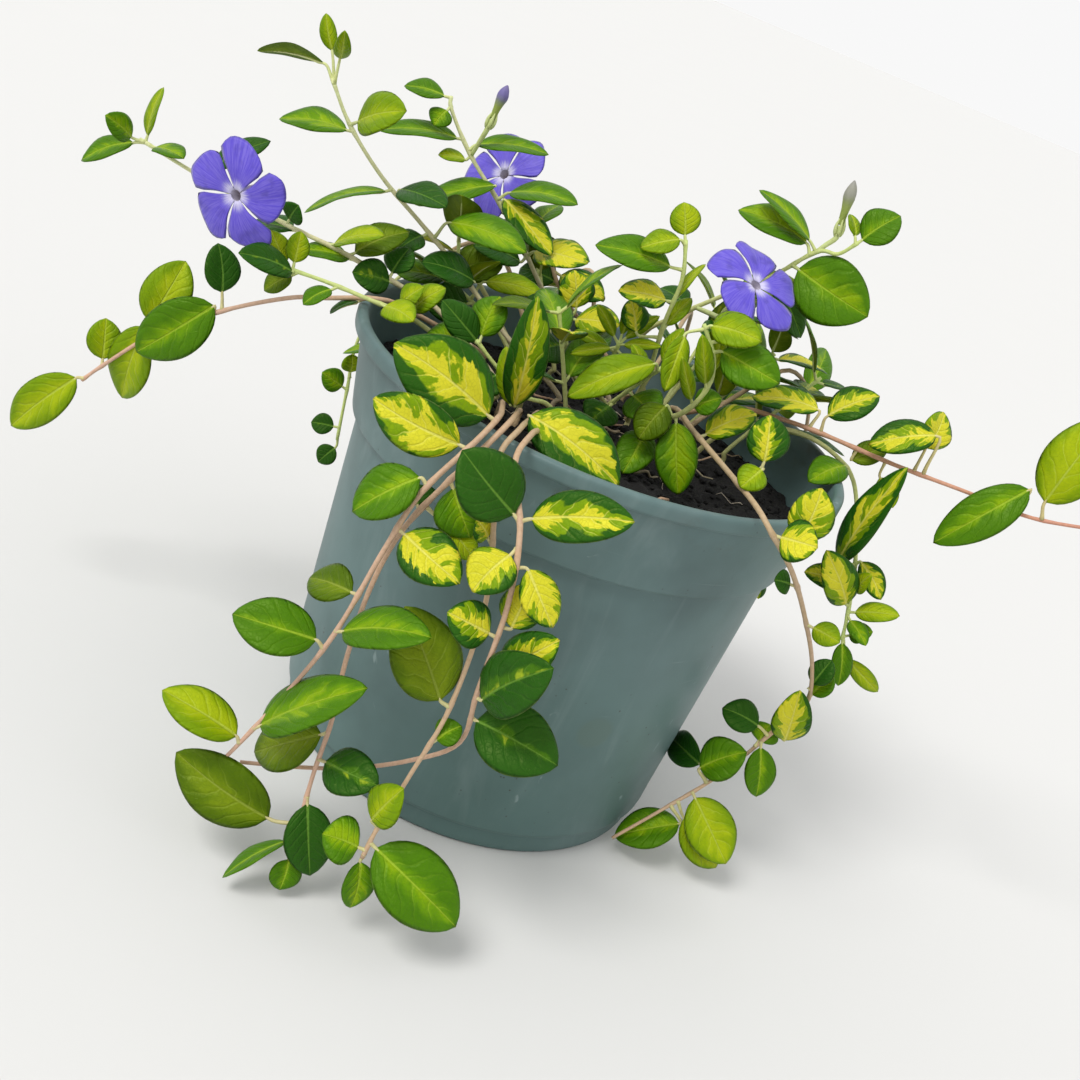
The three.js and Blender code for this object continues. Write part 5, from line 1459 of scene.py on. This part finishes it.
# Of each kind of leaf: the colours of margin, middle, heart and veins, how far the middle reaches at
# least and at most, how ragged it is and how soft its border is.
LEAF_LOOKS = {
    "young": (
        [(112, 142, 2), (140, 162, 4), (158, 174, 14), (176, 192, 70)], (0.3, 0.8), 0.45, 0.22,
    ),
    "green": (
        [(68, 114, 3), (98, 140, 3), (130, 160, 6), (150, 178, 48)], (0.1, 0.65), 0.5, 0.20,
    ),
    "dark": (
        [(30, 80, 14), (62, 108, 12), (146, 166, 36), (100, 142, 52)], (-0.4, 0.2), 0.6, 0.11,
    ),
    "variegated": (
        [(28, 82, 12), (118, 148, 3), (204, 198, 44), (220, 216, 104)], (0.5, 0.98), 0.8, 0.05,
    ),
    "olive": (
        [(72, 98, 1), (92, 116, 4), (112, 132, 14), (136, 152, 56)], (0.3, 0.8), 0.4, 0.28,
    ),
}
FADED = (138, 152, 84)
# The tint that a leaf's skin gives to what it mirrors
LEAF_GLOSS_TINT = (0.85, 1.0, 0.35, 1.0)


def leaf_finish(name, look, gloss, pale=0.0):
    """A leaf's upper side, or its paler lower side."""
    shades, reach, ragged, softness = look
    faded = [[c + (d - c) * pale for c, d in zip(shade, FADED)] for shade in shades]
    margin, middle, heart, vein = (paint(*shade) for shade in faded)
    f = Finish(name)
    s, v, own = f.parts(f.mark("leaf"))
    place = f.mark("place")
    away = f.parts(place)[1]
    a = abs(v)
    right = v > 0
    drift = f.noise(place, 1.3, 2.0) - 0.5
    t = s * 5.4 - a * 1.35 - a * a * 0.5 + right * 0.5 + drift * 1.5 + own * 3.0
    fingers = f.noise(f.joined(t * 1.1, a * 0.7, own * 40.0 + right * 7.0), 1.0, 1.0) - 0.5
    lobes = f.noise(place, 1.7, 1.0) - 0.5
    nicks = f.noise(place, 7.0, 3.0, 0.6) - 0.5
    blots = f.noise(f.joined(t * 1.3, a * 1.1, own * 23.0 + right * 5.0), 1.0, 2.0) - 0.5
    luck = (own * 7.31) % 1.0
    lean = ((own * 3.7) % 1.0 - 0.5) * (right - 0.5) * 0.7
    reached = reach[0] + luck * (reach[1] - reach[0]) + lean
    wavy = fingers * (1.1 * ragged) + lobes * (0.9 * ragged) + nicks * (0.22 * ragged)
    inner = reached + wavy - a - f.step(s, 0.8, 1.0) * 0.25
    in_middle = f.step(inner, -softness, softness)
    hearty = inner * 0.8 + blots * (2.1 * ragged) + nicks * (0.3 * ragged) - 0.24
    in_heart = f.step(hearty, -softness, softness)
    colour = f.mix(in_middle, margin, middle)
    clouds = f.noise(place, 3.2, 3.0, 0.6)
    colour = f.mix(f.step(clouds, 0.35, 0.65) * 0.4, colour, (0.7, 0.8, 0.62, 1), "MULTIPLY")
    colour = f.mix(in_heart, colour, heart)
    wander = abs(t % 1.0 - 0.5)
    side_veins = f.step(wander, 0.055, 0.012) * f.step(a, 0.95, 0.5)
    fade = f.step(s, 1.0, 0.7) * f.step(s, 0.0, 0.06)
    net = f.step(f.cells(place, 9.0, "DISTANCE_TO_EDGE"), 0.07, 0.0)
    midrib = f.step(abs(away) * 10.0 + s * 0.3, 0.56, 0.22)
    colour = f.mix(side_veins * fade * (0.08 + in_middle * 0.34), colour, vein)
    colour = f.mix(net * 0.12, colour, margin)
    colour = f.mix(midrib * 0.75, colour, vein)
    mottle = f.noise(place, 15.0, 2.0) * 0.5 + f.noise(place, 0.9, 2.0)
    colour = f.mix(f.step(mottle, 0.5, 1.05) * 0.3, colour, (0.6, 0.68, 0.55, 1), "MULTIPLY")
    rim = f.step(a, 0.95, 0.995) * f.step(s, 0.02, 0.1)
    colour = f.mix(rim * 0.3, colour, paint(150, 172, 96))
    ribs = f.step(wander, 0.22, 0.0)
    if pale:
        raised = side_veins * fade * 0.5 + midrib * 0.8 + net * 0.2
    else:
        grain = f.noise(place, 26.0, 2.0)
        raised = net * 0.2 - ribs * fade * 0.6 - midrib * 0.9 + grain * 0.2 + lobes * 0.8
    normal = f.bump(raised, 0.6, 0.00045)
    roughness = gloss + (f.noise(place, 5.0) - 0.5) * 0.25 + side_veins * 0.05
    shine = {"Specular_IOR_Level": 0.26, "Specular_Tint": LEAF_GLOSS_TINT}
    return f.surface(colour, roughness, normal, **shine)


def stem_finish():
    """Bark and green skin of stems and leaf stalks, in the tint marked on the mesh."""
    f = Finish("stem_skin")
    tint = f.mark("tint")
    place = f.object_place()
    streaks = f.noise(place, 900.0, 3.0, 0.6)
    patches = f.noise(place, 150.0, 2.0)
    colour = f.mix(f.step(streaks, 0.3, 0.8) * 0.45, tint, (0.62, 0.52, 0.46, 1), "MULTIPLY")
    colour = f.mix(f.step(patches, 0.5, 0.75) * 0.3, colour, (1.2, 1.14, 0.9, 1), "MULTIPLY")
    normal = f.bump(streaks, 0.35, 0.0002)
    return f.surface(colour, 0.5 + patches * 0.15, normal)


def petal_finish(colour_of_petal):
    """Violet-blue petals with fine streaks, paler towards the white star at the throat."""
    f = Finish("petal")
    out, spread, own = f.parts(f.mark("leaf"))
    place = f.object_place()
    veins = f.noise(f.joined(out * 2.0, spread * 11.0, own * 30.0), 1.6, 3.0, 0.6)
    clouds = f.noise(place, 260.0, 2.0)
    deep = darker(colour_of_petal, 0.78)
    light = lighter(colour_of_petal, 0.16)
    colour = f.mix(f.step(veins, 0.35, 0.7), linear(colour_of_petal), light)
    colour = f.mix(f.step(clouds, 0.5, 0.75) * 0.55, colour, deep)
    edge = f.step(abs(spread), 0.82, 1.0) * 0.5 + f.step(out, 0.86, 1.0) * 0.25
    colour = f.mix(edge, colour, deep)
    star = f.step(out + (veins - 0.5) * 0.34 + abs(spread) * 0.04, 0.33, 0.13)
    colour = f.mix(star * 0.9, colour, paint(206, 202, 228))
    normal = f.bump(veins, 0.35, 0.0003)
    return f.surface(colour, 0.55 + clouds * 0.1, normal, Sheen_Weight=0.25, Sheen_Roughness=0.4)


def throat_finish():
    """The tube: greyish violet outside, and pale grey inside the throat, greying deeper in the hollow
    as painted shade.
    """
    f = Finish("flower_tube")
    depth, inside, _ = f.parts(f.mark("leaf"))
    place = f.object_place()
    grain = f.noise(place, 700.0, 2.0)
    outer = f.mix(f.step(depth, 0.1, 0.9), paint(132, 118, 112), paint(140, 130, 178))
    # Inside, the colour darkens towards the bottom of the hollow: painted shade in the recess.
    inner = f.mix(f.step(depth, 0.5, 1.0), paint(176, 164, 160), paint(208, 202, 218))
    colour = f.mix(inside > 0.5, outer, inner)
    colour = f.mix(f.step(grain, 0.35, 0.7) * 0.25, colour, (0.7, 0.68, 0.72, 1), "MULTIPLY")
    return f.surface(colour, 0.6 + grain * 0.1, f.bump(grain, 0.2, 0.0002))


def bud_finish():
    """Rolled petals: yellow-green at the foot, pale or grey-violet at the tip, with painted shade in
    the folds.
    """
    f = Finish("bud_petals")
    share, fold, flush = f.parts(f.mark("leaf"))
    place = f.object_place()
    grain = f.noise(place, 600.0, 3.0)
    tip = f.mix(flush, paint(150, 152, 118), paint(104, 96, 150))
    colour = f.mix(f.step(share + grain * 0.15, 0.4, 0.8), paint(132, 148, 62), tip)
    colour = f.mix(f.step(share, 0.8, 1.0) * flush * 0.6, colour, paint(112, 100, 140))
    # Grey painted shade in the grooves where the rolled petals overlap.
    colour = f.mix(f.step(fold, 0.16, 0.0) * 0.45, colour, paint(96, 96, 96))
    return f.surface(colour, 0.55 + grain * 0.1, f.bump(grain, 0.25, 0.0002))


# A faint dark stain on the pot, at the place on its wall that the picture shows
STAIN = (35.5, -56.5, 50.0)


def pot_finish(plastic, gloss):
    """Slate plastic with worn edges and painted highlight lines along them, fine scuffs, specks of soil
    and dried water marks.
    """
    f = Finish("pot_plastic")
    edge_wear_and_highlight = f.parts(f.mark("leaf"))[0]
    place = f.object_place()
    height = f.parts(place)[2]
    clouds = f.noise(place, 22.0, 4.0, 0.55)
    smears = f.noise(f.scaled(place, (60.0, 60.0, 14.0)), 1.0, 4.0, 0.6, 0.6)
    grain = f.noise(place, 1400.0, 2.0)
    base = linear(plastic)
    dark = darker(plastic, 0.86)
    pale = lighter(plastic, 0.30)
    green = linear((plastic[0] * 0.88, plastic[1] * 0.98, plastic[2] * 0.92))
    colour = f.mix(f.step(clouds, 0.35, 0.7), base, dark)
    colour = f.mix(f.step(smears, 0.5, 0.8) * 0.35, colour, pale)
    colour = f.mix(f.step(f.noise(place, 9.0, 2.0), 0.45, 0.7) * 0.4, colour, green)
    slanted = f.node("ShaderNodeMapping", inputs={"Vector": place, "Rotation": (0.5, 0.3, 0.7)})
    scratch = f.noise(f.scaled(slanted.outputs[0], (240.0, 240.0, 9.0)), 1.0, 2.0, 0.4, 0.8)
    across = f.noise(f.scaled(place, (12.0, 12.0, 700.0)), 1.0, 2.0, 0.5, 0.4)
    scuffs = f.step(scratch, 0.70, 0.76) * f.step(f.noise(place, 30.0, 2.0), 0.48, 0.6)
    rubs = f.step(across, 0.68, 0.76) * f.step(f.noise(place, 45.0, 2.0), 0.5, 0.6)
    colour = f.mix(scuffs * 0.5 + rubs * 0.35, colour, pale)
    # Worn edges are lightened: partly real wear, partly painted highlight lines along the lip, the
    # collar's foot and the foot line.
    wear_and_highlight = edge_wear_and_highlight * f.step(f.noise(place, 160.0, 3.0), 0.25, 0.6)
    colour = f.mix(wear_and_highlight * 0.8, colour, lighter(plastic, 0.4))
    specks = f.step(f.cells(place, 260.0), 0.10, 0.04) * f.step(f.noise(place, 38.0, 2.0), 0.5, 0.62)
    colour = f.mix(specks * 0.8, colour, paint(58, 52, 44))
    rim_dirt = f.step(height, 0.108, 0.127) * f.step(f.noise(place, 70.0, 4.0, 0.65), 0.55, 0.72)
    colour = f.mix(rim_dirt * 0.35, colour, paint(74, 70, 60))
    spot = tuple(part * MM for part in STAIN)
    away = f.node("ShaderNodeVectorMath", {"operation": "DISTANCE"}, {0: place, 1: spot})
    stain = f.step(Value(f, away.outputs["Value"]) + (clouds - 0.5) * 0.006, 0.0068, 0.005)
    colour = f.mix(stain * 0.4, colour, paint(84, 104, 92))
    roughness = gloss + (clouds - 0.5) * 0.2 + scuffs * 0.15 + wear_and_highlight * 0.1 - stain * 0.1
    raised = grain * 0.3 - scuffs * 0.8 - rubs * 0.5 + specks * 0.8
    return f.surface(colour, roughness, f.bump(raised, 0.25, 0.00025), Specular_IOR_Level=0.3)


def soil_finish(earth):
    """Damp, nearly black soil with paler fibres and small painted glints."""
    f = Finish("soil_bed")
    place = f.object_place()
    lumps = f.noise(place, 240.0, 5.0, 0.65)
    grains = f.cells(place, 900.0)
    fibres = f.noise(f.scaled(place, (1200.0, 240.0, 600.0)), 1.0, 3.0, 0.6, 1.5)
    colour = f.mix(f.step(lumps, 0.3, 0.75), darker(earth, 0.5), linear(earth))
    # Paler dots at the middles of the grains are painted glints.
    colour = f.mix(f.step(grains, 0.5, 0.0) * 0.35, colour, darker(earth, 1.7))
    colour = f.mix(f.step(fibres, 0.70, 0.78) * 0.6, colour, paint(96, 72, 52))
    normal = f.bump(lumps * 0.7 + grains * 0.6, 0.8, 0.0009)
    return f.surface(colour, 0.72 + lumps * 0.25, normal)


def litter_finish():
    """Dry stems and root hairs, in the tint marked on the mesh."""
    f = Finish("dry_litter")
    tint = f.mark("tint")
    place = f.object_place()
    grain = f.noise(place, 800.0, 3.0, 0.6)
    colour = f.mix(f.step(grain, 0.35, 0.75) * 0.6, tint, (0.5, 0.42, 0.36, 1), "MULTIPLY")
    return f.surface(colour, 0.8 + grain * 0.1, f.bump(grain, 0.4, 0.0002))


def floor_finish(colour):
    """A pale matt floor."""
    f = Finish("studio_floor")
    place = f.object_place()
    grain = f.noise(place, 6.0, 2.0)
    shade = f.mix(grain * 0.3, linear(colour), darker(colour, 0.985))
    return f.surface(shade, 0.9 + grain * 0.05)


# Settings, operators and panel


class PotSettings(bpy.types.PropertyGroup):
    plastic: bpy.props.FloatVectorProperty(
        name="Plastic", description="Colour of the pot's plastic", default=(0.36, 0.452, 0.450),
        subtype="COLOR_GAMMA", min=0, max=1,
    )
    gloss: bpy.props.FloatProperty(
        name="Roughness", description="How matt the pot is", default=0.46,
        min=0, max=1, subtype="FACTOR",
    )


class SoilSettings(bpy.types.PropertyGroup):
    earth: bpy.props.FloatVectorProperty(
        name="Soil", description="Colour of the damp soil", default=(0.034, 0.025, 0.018),
        subtype="COLOR_GAMMA", min=0, max=1,
    )
    crumb: bpy.props.FloatProperty(
        name="Crumb", description="Size of the soil's crumbs in millimetres", default=1.0,
        min=0.4, max=2,
    )
    crumbs: bpy.props.IntProperty(
        name="Crumbs", description="How many loose crumbs lie on the soil", default=900,
        min=0, max=3000,
    )


class GrowthSettings(bpy.types.PropertyGroup):
    thickness: bpy.props.FloatProperty(
        name="Leaf thickness", description="Thickness of a leaf's blade", default=0.45 * MM,
        min=0.2 * MM, max=1 * MM, subtype="DISTANCE", unit="LENGTH", precision=5,
    )
    gloss: bpy.props.FloatProperty(
        name="Leaf roughness", description="How matt the leaves are", default=0.42, min=0, max=1,
        subtype="FACTOR",
    )


class FlowerSettings(bpy.types.PropertyGroup):
    petal: bpy.props.FloatVectorProperty(
        name="Petals", description="Colour of the petals", default=(0.32, 0.25, 0.75),
        subtype="COLOR_GAMMA", min=0, max=1,
    )


class StageSettings(bpy.types.PropertyGroup):
    floor: bpy.props.FloatVectorProperty(
        name="Floor", description="Colour of the floor", default=(0.825, 0.825, 0.82),
        subtype="COLOR_GAMMA", min=0, max=1,
    )
    key: bpy.props.FloatProperty(
        name="Key light", description="Strength of the broad light from above", default=1.9,
        min=0, max=10,
    )
    sky: bpy.props.FloatProperty(
        name="Surroundings", description="Strength of the light from all round", default=0.94,
        min=0, max=3,
    )


class PERIWINKLE_OT_pot(bpy.types.Operator):
    """Make the pot, with its lip, collar, foot line and drain holes"""

    bl_idname = "periwinkle.pot"
    bl_label = "Pot"

    def execute(self, context):
        settings = context.scene.periwinkle_pot
        skin = Skin()
        add_pot(skin)
        made = skin.made("pot_shell", [pot_finish(tuple(settings.plastic), settings.gloss)])
        cut_by(made, drain_cutter())
        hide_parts("pot")
        return {"FINISHED"}


class PERIWINKLE_OT_soil(bpy.types.Operator):
    """Fill the pot with crumbly soil"""

    bl_idname = "periwinkle.soil"
    bl_label = "Soil"

    def execute(self, context):
        settings = context.scene.periwinkle_soil
        draw = random.Random(SOIL_SEED)
        skin = Skin()
        add_soil(skin, settings.crumb)
        add_crumbs(skin, settings.crumbs, settings.crumb, draw)
        add_litter(skin, draw)
        made = skin.made("soil_fill", [soil_finish(tuple(settings.earth)), litter_finish()])
        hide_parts("soil")
        return {"FINISHED"}


class PERIWINKLE_OT_stems(bpy.types.Operator):
    """Grow the leafy stems with their leaves, leaf stalks and flower stalks"""

    bl_idname = "periwinkle.stems"
    bl_label = "Leafy stems"

    def execute(self, context):
        settings = context.scene.periwinkle_growth
        gloss = settings.gloss
        finishes = [stem_finish()]
        finishes += [leaf_finish("leaf_" + kind, LEAF_LOOKS[kind], gloss) for kind in LEAF_KINDS]
        for name, look, pale in UNDERSIDES:
            finish = leaf_finish("leaf_under_" + name, LEAF_LOOKS[look], UNDERSIDE_ROUGHNESS, pale)
            finishes.append(finish)
        found = 0
        wanted = 0
        for order, plan in enumerate(stem_plans()):
            found += grow(plan, order, finishes, settings.thickness / MM)
            wanted += len(plan.leaves)
        print(f"leaves found on the packed part: {found} of {wanted}")
        if found < LEAVES_TO_FIND * wanted:
            raise RuntimeError("the packed part's leaves don't match the stems' plan")
        return {"FINISHED"}


class PERIWINKLE_OT_flowers(bpy.types.Operator):
    """Open the flowers and close the buds on their stalks"""

    bl_idname = "periwinkle.flowers"
    bl_label = "Flowers and buds"

    def execute(self, context):
        settings = context.scene.periwinkle_flowers
        finishes = [petal_finish(tuple(settings.petal)), throat_finish()]
        rolled = bud_finish()
        flowers = 0
        buds = 0
        for plan in stem_plans():
            if plan.flower:
                flowers += 1
                _, seat, centre, axis, first = plan.flower_place()
                skin = Skin()
                for i in range(PETALS):
                    out = turned_about(first, axis, 2 * math.pi * i / PETALS)
                    add_petal(skin, centre, axis, out, np.cross(axis, out), flowers * 7 + i)
                add_throat(skin, seat, centre, axis)
                made = skin.made(f"corolla_{flowers}_petals", finishes)
                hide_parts(f"corolla_{flowers}")
            if plan.bud:
                buds += 1
                _, seat, tip = plan.bud_place()
                skin = Skin()
                add_bud(skin, seat, tip, BUD_FLUSHES[buds - 1])
                made = skin.made(f"bud_{buds}_petals", [rolled])
                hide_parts(f"bud_{buds}")
        return {"FINISHED"}


class PERIWINKLE_OT_stage(bpy.types.Operator):
    """Set the floor, the soft lights and the camera"""

    bl_idname = "periwinkle.stage"
    bl_label = "Stage"

    def execute(self, context):
        settings = context.scene.periwinkle_stage
        scene = context.scene
        circle = bmesh.new()
        bmesh.ops.create_circle(circle, cap_ends=True, segments=96, radius=FLOOR_RADIUS)
        floor = placed("floor", mesh_of("floor", circle))
        floor.data.materials.append(floor_finish(tuple(settings.floor)))
        floor.location.z = -FLOOR_DROP
        light = bpy.data.lights.new("key", "SUN")
        light.energy = settings.key
        light.angle = KEY_ANGLE
        light.color = (1.0, 0.985, 0.96)
        lamp = placed("key", light)
        lamp.rotation_euler = Vector(KEY_FROM).to_track_quat("Z", "Y").to_euler()
        world = bpy.data.worlds.new("surroundings")
        world.use_nodes = True
        background = world.node_tree.nodes["Background"]
        background.inputs["Color"].default_value = (1.0, 1.0, 1.0, 1)
        background.inputs["Strength"].default_value = settings.sky
        scene.world = world
        scene.view_settings.view_transform = "Standard"
        camera = bpy.data.cameras.new("photo_view")
        camera.lens = FOCAL / (2 * MIDDLE) * FILM_WIDTH
        camera.sensor_width = FILM_WIDTH
        camera.clip_start = 0.01
        viewer = placed("photo_view", camera)
        columns = [Vector(ACROSS), Vector(UPWARD), Vector(BACK)]
        turn = Matrix(columns).transposed().to_4x4()
        viewer.matrix_world = Matrix.Translation(Vector(EYE * MM)) @ turn
        scene.camera = viewer
        return {"FINISHED"}


class PERIWINKLE_PT_panel(bpy.types.Panel):
    """The periwinkle's pieces and their settings"""

    bl_idname = "PERIWINKLE_PT_panel"
    bl_label = "Potted periwinkle"
    bl_space_type = "VIEW_3D"
    bl_region_type = "UI"
    bl_category = "Periwinkle"

    def draw(self, context):
        scene = context.scene
        for operator, name, fields in PANEL_ROWS:
            box = self.layout.box()
            box.operator(operator)
            settings = getattr(scene, name)
            for field in fields:
                box.prop(settings, field)


PANEL_ROWS = [
    ("periwinkle.pot", "periwinkle_pot", ("plastic", "gloss")),
    ("periwinkle.soil", "periwinkle_soil", ("earth", "crumb", "crumbs")),
    ("periwinkle.stems", "periwinkle_growth", ("thickness", "gloss")),
    ("periwinkle.flowers", "periwinkle_flowers", ("petal",)),
    ("periwinkle.stage", "periwinkle_stage", ("floor", "key", "sky")),
]
SETTINGS = {
    "periwinkle_pot": PotSettings,
    "periwinkle_soil": SoilSettings,
    "periwinkle_growth": GrowthSettings,
    "periwinkle_flowers": FlowerSettings,
    "periwinkle_stage": StageSettings,
}
OPERATORS = [
    PERIWINKLE_OT_pot,
    PERIWINKLE_OT_soil,
    PERIWINKLE_OT_stems,
    PERIWINKLE_OT_flowers,
    PERIWINKLE_OT_stage,
]


def register():
    for made in [*SETTINGS.values(), *OPERATORS, PERIWINKLE_PT_panel]:
        bpy.utils.register_class(made)
    for name, group in SETTINGS.items():
        setattr(bpy.types.Scene, name, bpy.props.PointerProperty(type=group))


def unregister():
    for name in SETTINGS:
        delattr(bpy.types.Scene, name)
    for made in reversed([*SETTINGS.values(), *OPERATORS, PERIWINKLE_PT_panel]):
        bpy.utils.unregister_class(made)


def main():
    register()
    for operator, _, _ in PANEL_ROWS:
        group, action = operator.split(".")
        getattr(getattr(bpy.ops, group), action)()


if __name__ == "__main__":
    main()
